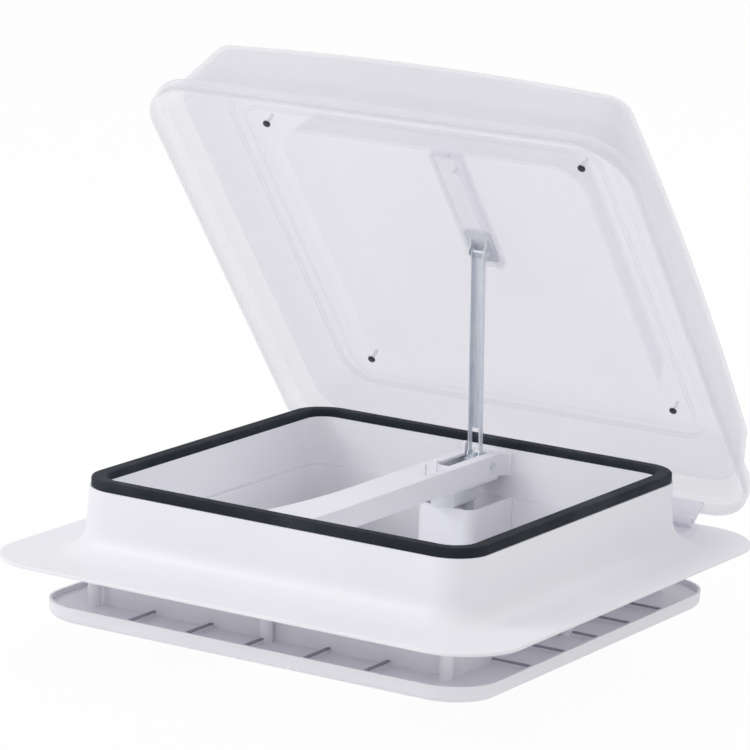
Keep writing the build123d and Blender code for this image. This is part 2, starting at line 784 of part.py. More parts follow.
def build_shaft():
    """Upright crank shaft, necked where the worm sits and flatted for the crank's hub."""
    shaft = rod(shaft_radius, (0, worm_y, shaft_bottom), (0, worm_y, bar_bottom + loose_gap))
    shaft += rod(worm_core_bore, (0, worm_y, bar_bottom), (0, worm_y, pivot_z + worm_length / 2))
    return shaft


def build_gear_housing():
    """Gear housing: screwed plate, long round-ended body and a sleeve for the lower bush."""
    plate_low = bar_bottom - housing_plate
    front = min(housing_boss_places_y) - 2 * housing_boss_radius
    back = max(housing_boss_places_y) + 2 * housing_boss_radius
    housing = block(-bar_half, bar_half, front, back, plate_low, bar_bottom)
    housing = fillet(housing.edges().filter_by(Axis.Z), housing_boss_radius)
    body_length = worm_y - housing_front_y + 2 * housing_half
    body = Pos(0, (worm_y + housing_front_y) / 2) * SlotOverall(body_length, 2 * housing_half, rotation=90)
    body = extrude(Plane.XY.offset(plate_low - housing_drop) * body, housing_drop)
    body = fillet(body.edges().group_by(Axis.Z)[0], housing_plate)
    housing += body
    sleeve_low = plate_low - housing_drop - sleeve_length
    housing += rod(sleeve_radius, (0, worm_y, sleeve_low), (0, worm_y, plate_low))
    housing -= rod(bush_radius + fixed_fit, (0, worm_y, sleeve_low - overrun), (0, worm_y, bar_top))
    for x, y in housing_boss_places():
        housing -= rod(small_screw_radius + running_fit, (x, y, plate_low - overrun), (x, y, bar_top))
    return housing


def build_bushes():
    """Two plain bushes that carry the crank shaft in the housing."""
    sleeve_low = bar_bottom - housing_plate - housing_drop - sleeve_length
    bushes = []
    for low in (sleeve_low, bar_bottom - bush_length):
        bush = rod(bush_radius, (0, worm_y, low), (0, worm_y, low + bush_length))
        bushes.append(bush - rod(shaft_radius + running_fit, (0, worm_y, low - overrun),
                                 (0, worm_y, low + bush_length + overrun)))
    return group(bushes)


def build_pivot_pin():
    """Pin through the crossbar that the arm swings on, with a head at each end."""
    pin = rod(arm_pin_radius, (-bar_half, pivot_y, pivot_z), (bar_half, pivot_y, pivot_z))
    for side in (-1, 1):
        pin += rod(arm_head_radius, (side * bar_half, pivot_y, pivot_z),
                   (side * (bar_half + arm_head_height), pivot_y, pivot_z))
    return pin


def build_pivot_spacers():
    """Two spacers on the pin that keep the arm in the middle of the slot."""
    spacers = []
    for side in (-1, 1):
        start = side * (arm_half + loose_gap)
        end = side * (bar_half - bar_wall - fixed_fit)
        tube = rod(arm_head_radius, (start, pivot_y, pivot_z), (end, pivot_y, pivot_z))
        spacers.append(tube - rod(arm_pin_radius + fixed_fit, (0, pivot_y, pivot_z),
                                  (2 * end, pivot_y, pivot_z)))
    return group(spacers)


def build_handle():
    """Crank handle: hub on the shaft, a flat arm and a seat for the knob."""
    top = cup_bottom - loose_gap
    low = shaft_bottom - handle_thickness
    hub = rod(handle_hub_radius, (0, worm_y, low), (0, worm_y, top))
    hub = fillet(hub.edges().group_by(Axis.Z)[-1], overrun)
    end_y = worm_y - handle_reach
    plan = Pos(0, worm_y - handle_reach / 2) * SlotCenterToCenter(handle_reach, handle_width, rotation=90)
    web = extrude(Plane.XY.offset(low) * plan, handle_thickness)
    web = fillet(web.edges().group_by(Axis.Z)[-1] + web.edges().group_by(Axis.Z)[0], overrun)
    handle = hub + web
    handle -= rod(shaft_radius + fixed_fit, (0, worm_y, shaft_bottom), (0, worm_y, top + overrun))
    handle -= rod(knob_axle_radius + fixed_fit, (0, end_y, low - overrun),
                  (0, end_y, low + 2 * handle_thickness))
    return handle


def build_knob_axle():
    """Shouldered axle riveted into the crank handle, with a head inside the knob."""
    high = shaft_bottom
    end_y = worm_y - handle_reach
    low = high - handle_thickness - knob_length - loose_gap - arm_head_height
    axle = rod(knob_axle_radius, (0, end_y, low), (0, end_y, high))
    axle += rod(knob_axle_radius * 7 / 5, (0, end_y, high), (0, end_y, high + arm_head_height / 2))
    axle += rod(knob_axle_radius * 7 / 5, (0, end_y, low - arm_head_height), (0, end_y, low))
    return axle


def build_knob():
    """Knob, turned to a soft waist, free on its axle."""
    end_y = worm_y - handle_reach
    high = shaft_bottom - handle_thickness - loose_gap
    low = high - knob_length - arm_head_height
    waist = knob_radius * 4 / 5
    bore = knob_axle_radius + running_fit
    sink = 2 * arm_head_height
    head_bore = knob_axle_radius * 7 / 5 + loose_gap
    profile = Polyline((bore, high), (waist, high), (waist, high - knob_length / 4))
    profile += Spline((waist, high - knob_length / 4), (knob_radius, low + knob_length / 4),
                      (knob_radius - knob_round / 2, low + knob_round / 4))
    profile += Polyline((knob_radius - knob_round / 2, low + knob_round / 4),
                        (knob_radius - knob_round, low - knob_round / 4), (head_bore, low - knob_round / 4),
                        (head_bore, low + sink), (bore, low + sink), (bore, high))
    face = make_face(Plane.XZ * profile)
    return Pos(0, end_y, 0) * revolve(face, Axis.Z)


def build_trim_frame():
    """Ceiling frame: trough with ribs, rounded skirt, upright collar and screw posts."""
    bottom = trim_top - trim_height
    body = rounded_block(trim_half_x, trim_half_y, trim_corner, bottom, trim_top)
    body = fillet(body.edges().group_by(Axis.Z)[0], trim_round)
    trough_x = trim_half_x - trim_wall
    trough_y = trim_half_y - trim_wall
    corner = trim_corner - trim_wall
    floor_top = trim_top - trim_trough
    body -= rounded_block(trough_x, trough_y, corner, floor_top, trim_top + overrun)
    below = rounded_block(trough_x, trough_y, corner, bottom - trim_wall, trim_under)
    below = below - rounded_block(trough_x, trough_y, corner, bottom - trim_wall, bottom)
    below = fillet(below.edges().group_by(Axis.Z)[0], trim_round - trim_wall)
    body -= below
    inner = trim_collar_half - trim_collar_wall
    inner_corner = well_corner - trim_collar_wall
    collar = rounded_block(trim_collar_half, trim_collar_half, well_corner, trim_under, trim_collar_top)
    body += collar
    rib_top = trim_top - loose_gap
    half_rib = trim_rib_thickness / 2
    third = post_corner_x / 3
    for place in (-2 * third, -third, 0, third, 2 * third):
        for side in (-1, 1):
            near = side * (trim_collar_half - half_rib)
            far_y = side * (trim_half_y - trim_wall / 2)
            far_x = side * (trim_half_x - trim_wall / 2)
            low = floor_top - half_rib
            body += block(place - half_rib, place + half_rib, min(near, far_y), max(near, far_y),
                          low, rib_top)
            body += block(min(near, far_x), max(near, far_x), place - half_rib, place + half_rib,
                          low, rib_top)
    for x, y in post_places:
        body += rod(post_radius, (x, y, trim_under), (x, y, -post_top_gap))
    body -= rounded_block(inner, inner, inner_corner, bottom - overrun, trim_collar_top + overrun)
    for x, y in post_places:
        body -= rod(screw_radius + running_fit, (x, y, trim_under - overrun), (x, y, overrun))
    for x, z in cup_screw_places():
        body -= rod(small_screw_radius + running_fit, (x, inner - overrun, z),
                    (x, trim_collar_half + overrun, z))
    return body


def cup_screw_places():
    """Screws through the cup's back wall into the trim frame's collar."""
    x = cup_half / 2
    return [(sx * x, z) for sx in (-1, 1) for z in (cup_top / 3, trim_top + cup_top)]


def build_crank_cup():
    """Open-topped cup round the crank shaft, its back against the trim frame's collar."""
    def shell(inset, low, high):
        """Cup with rounded front corners, drawn in by the inset."""
        plan = Pos(0, (cup_front_y + cup_back_y) / 2) * Rectangle(
            2 * (cup_half - inset), cup_back_y - cup_front_y - 2 * inset)
        front = plan.vertices().group_by(Axis.Y)[0]
        plan = fillet(front, cup_corner - inset)
        return extrude(Plane.XY.offset(low) * plan, high - low)

    cup = shell(0, cup_bottom, cup_top)
    cup = fillet(cup.edges().group_by(Axis.Z)[0], cup_wall)
    cup -= shell(cup_wall, cup_bottom + cup_wall, cup_top + overrun)
    cup -= rod(shaft_radius + loose_gap, (0, worm_y, cup_bottom - overrun), (0, worm_y, cup_top))
    for x, z in cup_screw_places():
        cup -= rod(small_screw_radius + running_fit, (x, cup_back_y - 2 * cup_wall, z),
                   (x, cup_back_y + overrun, z))
    return cup


def screen_levels():
    """Top and underside of the flyscreen frame."""
    top = trim_under - loose_gap
    return top, top - screen_thickness


def notch_block(grow, low, high):
    """Room for the crank cup, grown on its free sides."""
    return block(-cup_half - grow, cup_half + grow, cup_front_y - grow,
                 cup_back_y + loose_gap + overrun / 2, low, high)


def build_screen_frame():
    """Flyscreen frame with a rebate for the net, a notch for the cup and snap tongues."""
    top, low = screen_levels()
    inner = screen_half - screen_border
    frame = rounded_block(screen_half, screen_half, screen_corner, low, top)
    frame = fillet(frame.edges().group_by(Axis.Z)[0], screen_thickness / 3)
    frame -= rounded_block(inner, inner, screen_corner / 2, low - overrun, top + overrun)
    frame += notch_block(screen_notch_border, low, top)
    frame -= notch_block(loose_gap, low - overrun, top + overrun)
    rebate = inner + screen_rebate
    level = top - screen_rebate_depth
    room = rounded_block(rebate, rebate, screen_corner / 2, level, top + overrun)
    room -= notch_block(screen_notch_border - screen_rebate / 2, level - overrun, top + 2 * overrun)
    frame -= room
    for x, y in post_places:
        frame -= rod(screw_head_radius + loose_gap, (x, y, top - screw_head_height),
                     (x, y, top + overrun))
    reach = trim_collar_half - trim_collar_wall - loose_gap
    half = snap_width / 2
    for side in (-1, 1):
        for place in (-snap_place, snap_place):
            near = side * (reach - snap_thickness)
            far = side * reach
            frame += block(min(near, far), max(near, far), place - half, place + half,
                           level - net_thickness, top + snap_height)
    return frame


def build_net():
    """Flyscreen net: one holed sheet, kept clear of the notch and the snap tongues."""
    top, low = screen_levels()
    level = top - screen_rebate_depth
    inner = screen_half - screen_border
    edge = inner + screen_rebate / 2
    net = rounded_block(edge, edge, screen_corner / 2, level, level + net_thickness)
    pitch = 2 * (inner - net_strand) / net_gaps
    gap = pitch - net_strand
    holes = []
    middle = (net_gaps - 1) / 2
    for row in range(net_gaps):
        for column in range(net_gaps):
            x = (column - middle) * pitch
            y = (row - middle) * pitch
            near_x = max(abs(x) - gap / 2, 0)
            notch_grow = screen_notch_border + net_strand
            if near_x < cup_half + notch_grow and y + gap / 2 > cup_front_y - notch_grow:
                continue
            holes.append(block(x - gap / 2, x + gap / 2, y - gap / 2, y + gap / 2,
                               level - overrun, level + net_thickness + overrun))
    net -= notch_block(screen_notch_border - screen_rebate / 2 + running_fit, level - overrun, top)
    return net - holes


def hinge_foot_y():
    """Line of the rivets in the base leaf."""
    return hinge_y + hinge_foot_width / 2 - hinge_leaf


def hinge_screw_places():
    """Even places along the hinge."""
    pitch = 2 * hinge_half_length / hinge_screw_count
    return [-hinge_half_length + (index + 1 / 2) * pitch for index in range(hinge_screw_count)]


def lid_leaf_screw_z():
    """Height of the screws in the lid's leaf, on the rim's middle."""
    return rim_bottom + (lid_rim_height - lid_skin) / 2


def knuckles(first):
    """Every second knuckle along the hinge line, with its bore still closed."""
    pitch = 2 * hinge_half_length / hinge_knuckles
    solids = []
    for index in range(first, hinge_knuckles, 2):
        start = -hinge_half_length + index * pitch + knuckle_gap / 2
        end = start + pitch - knuckle_gap
        solids.append((start, end))
    return solids


def build_base_hinge():
    """Hinge half on the flange: foot plate, web and five knuckles."""
    foot_low = flange_thickness
    foot_high = flange_thickness + hinge_leaf
    half = hinge_leaf / 2
    leaf = block(-hinge_half_length, hinge_half_length, hinge_y - hinge_foot_width / 2,
                 hinge_y + hinge_foot_width - hinge_foot_width / 4, foot_low, foot_high)
    leaf = fillet(leaf.edges().filter_by(Axis.Z), hinge_leaf)
    for start, end in knuckles(0):
        leaf += rod(knuckle_radius, (start, hinge_y, hinge_z), (end, hinge_y, hinge_z))
        leaf += block(start, end, hinge_y - half, hinge_y + half, foot_high - half, hinge_z)
    leaf -= rod(hinge_pin_radius + fixed_fit, (-hinge_half_length - overrun, hinge_y, hinge_z),
                (hinge_half_length + overrun, hinge_y, hinge_z))
    for x in hinge_screw_places():
        leaf -= rod(screw_radius + running_fit, (x, hinge_foot_y(), 0), (x, hinge_foot_y(), hinge_z))
    return leaf


def build_lid_hinge():
    """Hinge half on the lid, closed pose: knuckles and a leaf up inside the rim."""
    back = lid_half_y - lid_skin - fixed_fit
    top = rim_bottom + lid_rim_height - lid_skin - overrun
    low = hinge_z + knuckle_radius + loose_gap
    leaf = block(-hinge_half_length, hinge_half_length, back - hinge_leaf, back, low, top)
    for start, end in knuckles(1):
        leaf += rod(knuckle_radius, (start, hinge_y, hinge_z), (end, hinge_y, hinge_z))
        leaf += block(start, end, back - hinge_leaf, back, hinge_z, low + hinge_leaf)
    leaf -= rod(hinge_pin_radius + running_fit, (-hinge_half_length - overrun, hinge_y, hinge_z),
                (hinge_half_length + overrun, hinge_y, hinge_z))
    z = lid_leaf_screw_z()
    for x in hinge_screw_places():
        leaf -= rod(small_screw_radius + running_fit, (x, back - 2 * hinge_leaf, z), (x, back + overrun, z))
    return leaf


def build_hinge_pin():
    """Steel rod through all the knuckles."""
    return rod(hinge_pin_radius, (-hinge_half_length - hinge_leaf, hinge_y, hinge_z),
               (hinge_half_length + hinge_leaf, hinge_y, hinge_z))


def build_fasteners():
    """All screws and rivets, one group for each job."""
    groups = {}
    head_room = trim_under
    groups["frame_screws"] = group(
        screw((x, y, head_room), (0, 0, 1), screw_radius, frame_screw_reach - head_room,
              screw_head_radius, screw_head_height)
        for x, y in post_places)
    groups["crossbar_screws"] = group(
        screw((x, y, z), (0, way, 0), small_screw_radius, small_screw_length - running_fit,
              small_head_radius, small_head_height)
        for x, y, z, way in bar_screw_places())
    plate_low = bar_bottom - housing_plate
    groups["housing_screws"] = group(
        screw((x, y, plate_low), (0, 0, 1), small_screw_radius,
              small_screw_length + housing_plate - running_fit,
              small_head_radius, small_head_height)
        for x, y in housing_boss_places())
    groups["cup_screws"] = group(
        screw((x, cup_back_y - cup_wall, z), (0, 1, 0), small_screw_radius,
              trim_collar_half - cup_back_y + cup_wall, small_head_radius, small_head_height)
        for x, z in cup_screw_places())
    groups["hinge_rivets"] = group(
        screw((x, hinge_foot_y(), flange_thickness + hinge_leaf), (0, 0, -1), screw_radius,
              flange_thickness + hinge_leaf, screw_head_radius, screw_head_height)
        for x in hinge_screw_places())
    groups["lid_hinge_screws"] = group(
        opened(screw((x, lid_half_y, lid_leaf_screw_z()), (0, -1, 0), small_screw_radius,
                     lid_skin + hinge_leaf + overrun, small_head_radius, small_head_height))
        for x in hinge_screw_places())
    groups["lid_screws"] = group(
        opened(screw((x, y, lid_datum), (0, 0, 1), screw_radius, pane_skin + small_screw_length,
                     screw_head_radius, screw_head_height))
        for x, y in pane_screw_places())
    groups["rail_screws"] = group(
        opened(screw((0, y, panel_under - rail_wall), (0, 0, 1), small_screw_radius,
                     rail_wall + 2 * pane_skin, small_head_radius, small_head_height))
        for y in rail_screw_places())
    return groups


keep(build_base_frame(), "base_frame")
keep(build_seal(), "lid_seal")
keep(build_crossbar(), "crossbar")
keep(build_pivot_pin(), "arm_pivot_pin")
keep(build_pivot_spacers(), "pivot_spacers")
keep(build_gear_housing(), "gear_housing")
keep(build_bushes(), "shaft_bushes")
keep(build_base_hinge(), "base_hinge_leaf")
keep(build_hinge_pin(), "hinge_pin")
keep(build_trim_frame(), "trim_frame")
keep(build_crank_cup(), "crank_cup")
keep(build_screen_frame(), "flyscreen_frame")
keep(build_net(), "flyscreen_net")
keep(opened(build_lid_dome()), "lid_dome")
keep(opened(build_inner_skin()), "lid_inner_skin")
keep(opened(build_guide_rail()), "guide_rail")
keep(opened(build_lid_hinge()), "lid_hinge_leaf")
keep(build_arm(), "lift_arm")
keep(build_gear(), "arm_gear")
keep(build_rivets(), "arm_rivets")
keep(opened(build_shoe()), "guide_shoe")
keep(opened(build_shoe_pin()), "shoe_pin")
keep(build_worm(), "worm")
keep(build_shaft(), "crank_shaft")
keep(build_handle(), "crank_handle")
keep(build_knob_axle(), "knob_axle")
keep(build_knob(), "crank_knob")
for name, fasteners in build_fasteners().items():
    keep(fasteners, name)
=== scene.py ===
"""Studio picture of a crank-lifted caravan roof vent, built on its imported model.

Lengths are in metres. X runs across the vent, +Y to the hinged side and +Z up, and the origin is
the middle of the roof cut-out on the roof's outer skin. The lid stands open, as the arm lifts it.
"""

import logging
from dataclasses import dataclass, field
from enum import Enum
from typing import Any

import bpy
import numpy as np
from mathutils import Matrix


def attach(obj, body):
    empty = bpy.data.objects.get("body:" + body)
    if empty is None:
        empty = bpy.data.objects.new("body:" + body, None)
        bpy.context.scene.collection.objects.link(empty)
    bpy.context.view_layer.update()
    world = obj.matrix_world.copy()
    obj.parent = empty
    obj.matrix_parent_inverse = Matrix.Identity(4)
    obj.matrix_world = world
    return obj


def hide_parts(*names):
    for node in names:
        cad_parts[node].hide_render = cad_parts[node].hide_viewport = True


log = logging.getLogger("roof_vent")
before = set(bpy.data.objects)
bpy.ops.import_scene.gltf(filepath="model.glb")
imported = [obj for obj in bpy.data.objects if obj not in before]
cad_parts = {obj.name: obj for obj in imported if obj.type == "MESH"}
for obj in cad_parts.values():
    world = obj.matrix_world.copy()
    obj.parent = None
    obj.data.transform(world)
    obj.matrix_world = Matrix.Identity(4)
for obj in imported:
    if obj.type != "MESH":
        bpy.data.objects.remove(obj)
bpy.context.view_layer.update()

MM = 0.001
PHOTO_PIXELS = 750
SENSOR = 36.0

Triple = tuple[float, float, float]
Span = tuple[float, float]


class Body(Enum):
    """The rigid bodies that the pieces made here ride on."""

    BASE = "base"
    LID = "lid"


# Meshes and curves worked out as arrays


def rounded_rings(
    half_x: np.ndarray, half_y: np.ndarray, corner: np.ndarray, side_steps: int, corner_steps: int
) -> np.ndarray:
    """Rounded rectangles, one for each entry of the size arrays.

    Each corner is centre + radius * (cos a, sin a), with a running over a quarter turn, and each
    straight side is a blend (1 - t) * end of one corner + t * start of the next.

    Args:
        half_x: Half widths, one for each ring.
        half_y: Half depths, one for each ring.
        corner: Corner radii, one for each ring.
        side_steps: Points along each straight side.
        corner_steps: Points round each corner.

    Returns:
        Array of rings x points x 2.
    """
    radius = np.clip(corner, 1e-5, np.minimum(half_x, half_y) * 0.999)
    quarter = np.arange(4)
    sign_x = np.array([1.0, -1.0, -1.0, 1.0])
    sign_y = np.array([1.0, 1.0, -1.0, -1.0])
    turn = quarter[:, None] * np.pi / 2 + np.linspace(0, np.pi / 2, corner_steps)[None, :]
    centre_x = (half_x - radius)[:, None, None] * sign_x[None, :, None]
    centre_y = (half_y - radius)[:, None, None] * sign_y[None, :, None]
    arcs = np.stack(
        [
            centre_x + radius[:, None, None] * np.cos(turn)[None],
            centre_y + radius[:, None, None] * np.sin(turn)[None],
        ],
        axis=-1,
    )
    blend = (np.arange(1, side_steps + 1) / (side_steps + 1))[None, None, :, None]
    following = np.roll(arcs[:, :, 0, :], -1, axis=1)[:, :, None, :]
    sides = arcs[:, :, -1:, :] * (1 - blend) + following * blend
    return np.concatenate([arcs, sides], axis=2).reshape(len(half_x), -1, 2)


def softened(
    points: np.ndarray, radii: np.ndarray, steps: int = 5, closed: bool = False
) -> np.ndarray:
    """A polyline in any number of dimensions with its corners rounded.

    At each corner the arc's centre lies on the bisector at radius / sin(half angle), and the arc
    is centre - radius * slerp(normal in, normal out). One more point on each side of an arc
    keeps the flat stretches flat when shaded smooth.

    Args:
        points: Corners, as rows.
        radii: Radius at each corner, 0 for the ends of an open line.
        steps: Points on each arc.
        closed: Whether the last corner joins the first.

    Returns:
        The rounded line's points, as rows.
    """
    before = np.roll(points, 1, axis=0)
    after = np.roll(points, -1, axis=0)
    inward = before - points
    outward = after - points
    reach_in = np.linalg.norm(inward, axis=1, keepdims=True)
    reach_out = np.linalg.norm(outward, axis=1, keepdims=True)
    inward = inward / np.maximum(reach_in, 1e-9)
    outward = outward / np.maximum(reach_out, 1e-9)
    cosine = np.clip((inward * outward).sum(axis=1, keepdims=True), -0.9999, 0.9999)
    half_angle = np.arccos(cosine) / 2
    room = 0.47 * np.minimum(reach_in, reach_out)
    setback = np.minimum(radii[:, None] / np.tan(half_angle), room)
    radius = setback * np.tan(half_angle)
    bisector = inward + outward
    bisector = bisector / np.maximum(np.linalg.norm(bisector, axis=1, keepdims=True), 1e-9)
    centre = points + bisector * radius / np.sin(half_angle)
    first = points + inward * setback
    last = points + outward * setback
    normal_in = (centre - first) / np.maximum(radius, 1e-12)
    normal_out = (centre - last) / np.maximum(radius, 1e-12)
    swing = np.pi - 2 * half_angle
    share = np.linspace(0, 1, steps)[None, :, None]
    weight_in = np.sin((1 - share) * swing[:, None, :]) / np.sin(swing)[:, None, :]
    weight_out = np.sin(share * swing[:, None, :]) / np.sin(swing)[:, None, :]
    arc = centre[:, None, :] - radius[:, None, :] * (
        weight_in * normal_in[:, None, :] + weight_out * normal_out[:, None, :]
    )
    lead_in = (first + inward * np.minimum(setback * 0.25, room - setback))[:, None, :]
    lead_out = (last + outward * np.minimum(setback * 0.25, room - setback))[:, None, :]
    rounded = np.concatenate([lead_in, arc, lead_out], axis=1)
    if closed:
        return rounded.reshape(-1, points.shape[1])
    middle = rounded[1:-1].reshape(-1, points.shape[1])
    return np.concatenate([points[:1], middle, points[-1:]], axis=0)


def mesh_piece(name: str, points: np.ndarray, faces: list[list[int]]) -> bpy.types.Object:
    """A mesh in an object of its own, linked to the scene.

    Args:
        name: Name of the piece.
        points: The mesh's points, as rows.
        faces: Lists of point numbers, counterclockwise seen from outside.

    Returns:
        The new object, at the origin.
    """
    mesh = bpy.data.meshes.new(name)
    mesh.from_pydata(points.tolist(), [], faces)
    mesh.update()
    piece = bpy.data.objects.new(name, mesh)
    bpy.context.scene.collection.objects.link(piece)
    return piece


def grid_mesh(
    name: str, grid: np.ndarray, closed_rows: bool = False, caps: bool = False
) -> bpy.types.Object:
    """Mesh of a grid of points whose columns close on themselves.

    Face (i, j) joins rows i and i + 1 with columns j and j + 1, counted modulo the columns.

    Args:
        name: Name of the piece.
        grid: Array of rows x columns x 3.
        closed_rows: Whether the last row joins the first.
        caps: Whether the first and last rows are filled with a flat face.

    Returns:
        The new object, at the origin.
    """
    rows, columns = grid.shape[:2]
    row = np.arange(rows if closed_rows else rows - 1)[:, None]
    column = np.arange(columns)[None, :]
    next_row = (row + 1) % rows
    next_column = (column + 1) % columns
    quads = np.stack(
        [
            row * columns + column,
            row * columns + next_column,
            next_row * columns + next_column,
            next_row * columns + column,
        ],
        axis=-1,
    ).reshape(-1, 4)
    faces = quads.tolist()
    if caps:
        faces.append(np.arange(columns)[::-1].tolist())
        faces.append(((rows - 1) * columns + np.arange(columns)).tolist())
    piece = mesh_piece(name, grid.reshape(-1, 3), faces)
    piece.data.polygons.foreach_set("use_smooth", np.ones(len(faces), dtype=bool))
    piece.data.update()
    return piece


def rows_of(*columns: np.ndarray | float) -> np.ndarray:
    """Columns of numbers, each an array or one value for all, set side by side as rows."""
    return np.stack(np.broadcast_arrays(*columns), axis=1)


def boxes_mesh(name: str, low: np.ndarray, high: np.ndarray) -> bpy.types.Object:
    """One mesh of many upright boxes.

    Corner k of box i is low_i + bit_k * (high_i - low_i), where bit_k is one of the eight
    corners of the unit cube.

    Args:
        name: Name of the piece.
        low: Lowest corners, as rows.
        high: Highest corners, as rows.

    Returns:
        The new object, at the origin.
    """
    square = [[0, 0], [1, 0], [1, 1], [0, 1]]
    unit = np.array([[x, y, z] for z in (0, 1) for x, y in square])
    sides = np.array(
        [[0, 3, 2, 1], [4, 5, 6, 7], [0, 1, 5, 4], [1, 2, 6, 5], [2, 3, 7, 6], [3, 0, 4, 7]]
    )
    points = (low[:, None, :] + unit[None] * (high - low)[:, None, :]).reshape(-1, 3)
    faces = (sides[None] + len(unit) * np.arange(len(low))[:, None, None]).reshape(-1, 4)
    return mesh_piece(name, points, faces.tolist())


@dataclass(frozen=True)
class LidSwing:
    """The lid's turn from its closed place to the open one."""

    hinge_y: float = 244.3 * MM
    hinge_z: float = 12.0 * MM
    angle: float = np.radians(50.6)

    def opened(self, points: np.ndarray) -> np.ndarray:
        """Points of the closed lid, turned open about the hinge line.

        y' = hinge + y cos a + z sin a and z' = hinge - y sin a + z cos a, from the hinge line.

        Args:
            points: Array whose last axis is x, y, z.

        Returns:
            Array of the same shape.
        """
        y = points[..., 1] - self.hinge_y
        z = points[..., 2] - self.hinge_z
        cosine = np.cos(self.angle)
        sine = np.sin(self.angle)
        turned_y = self.hinge_y + y * cosine + z * sine
        turned_z = self.hinge_z - y * sine + z * cosine
        return np.stack([points[..., 0], turned_y, turned_z], axis=-1)


# Finishes


class FinishNodes:
    """A new material, with the groups of nodes that the finishes share."""

    def __init__(self, name: str) -> None:
        """Makes the material and takes its lists of nodes and links."""
        self.material = bpy.data.materials.new(name)
        self.material.use_nodes = True
        self.nodes = self.material.node_tree.nodes
        self.links = self.material.node_tree.links
        self.shader = self.nodes["Principled BSDF"]

    def adjust(self, **values: Any) -> None:
        """Sets inputs of the principled shader, with _ for each space in an input's name."""
        for name, value in values.items():
            self.shader.inputs[name.replace("_", " ")].default_value = value

    def place(self) -> Any:
        """The socket of the place on the piece, in the object's own metres."""
        return self.nodes.new("ShaderNodeTexCoord").outputs["Object"]

    def noise(self, place: Any, scale: float, detail: float = 2.0) -> Any:
        """The socket of a noise with so many cells in a metre and so many finer octaves."""
        noise = self.nodes.new("ShaderNodeTexNoise")
        noise.inputs["Scale"].default_value = scale
        noise.inputs["Detail"].default_value = detail
        self.links.new(place, noise.inputs["Vector"])
        return noise.outputs["Fac"]

    def tones(self, value: Any, low: Triple, high: Triple, span: Span) -> Any:
        """Colours the shader from a low tone to a high one with the value, by a ramp node."""
        node = self.nodes.new("ShaderNodeValToRGB")
        for element, position, tone in zip(node.color_ramp.elements, span, (low, high)):
            element.position = position
            element.color = (*tone, 1.0)
        self.links.new(value, node.inputs["Fac"])
        self.links.new(node.outputs["Color"], self.shader.inputs["Base Color"])
        return node

    def gloss(self, value: Any, span: Span) -> None:
        """Lets the roughness run over a span with the value."""
        node = self.nodes.new("ShaderNodeMapRange")
        node.inputs["To Min"].default_value, node.inputs["To Max"].default_value = span
        self.links.new(value, node.inputs["Value"])
        self.links.new(node.outputs["Result"], self.shader.inputs["Roughness"])

    def bump(self, value: Any, strength: float, distance: float) -> None:
        """Roughens the shader's normals with the value."""
        node = self.nodes.new("ShaderNodeBump")
        node.inputs["Strength"].default_value = strength
        node.inputs["Distance"].default_value = distance
        self.links.new(value, node.inputs["Height"])
        self.links.new(node.outputs["Normal"], self.shader.inputs["Normal"])

    def mixed(self, share: Any, first: Any, second: Any) -> Any:
        """The socket of two surfaces mixed by a share, which is a number or a socket."""
        node = self.nodes.new("ShaderNodeMixShader")
        if isinstance(share, float):
            node.inputs["Fac"].default_value = share
        else:
            self.links.new(share, node.inputs["Fac"])
        self.links.new(first, node.inputs[1])
        self.links.new(second, node.inputs[2])
        return node.outputs["Shader"]

    def surface(self, socket: Any) -> None:
        """Makes the socket the material's surface."""
        self.links.new(socket, self.nodes["Material Output"].inputs["Surface"])


@dataclass(frozen=True)
class MouldedPlastic:
    """Injection-moulded plastic: faint mottling, fine grain and soft sheen."""

    name: str
    colour: Triple
    shade: Triple
    roughness: float
    subsurface: float = 0.0
    drift_scale: float = 7.0
    tone_span: Span = (0.3, 0.7)
    gloss_span: Span = (-0.05, 0.06)
    grain_scale: float = 900.0
    grain_detail: float = 3.0
    grain_strength: float = 0.06
    grain_height: float = 0.2 * MM
    glow_radius: Triple = (10.0 * MM, 10.0 * MM, 11.0 * MM)
    glow_scale: float = 0.5

    def material(self) -> bpy.types.Material:
        """The finish as a material.

        Returns:
            A material whose colour drifts slowly between the two tones, with a fine grain.
        """
        made = FinishNodes(self.name)
        place = made.place()
        drift = made.noise(place, self.drift_scale)
        grain = made.noise(place, self.grain_scale, self.grain_detail)
        low, high = self.gloss_span
        made.tones(drift, self.shade, self.colour, self.tone_span)
        made.gloss(drift, (self.roughness + low, self.roughness + high))
        made.bump(grain, self.grain_strength, self.grain_height)
        if self.subsurface > 0:
            made.adjust(
                Subsurface_Weight=self.subsurface,
                Subsurface_Radius=self.glow_radius,
                Subsurface_Scale=self.glow_scale,
            )
        return made.material


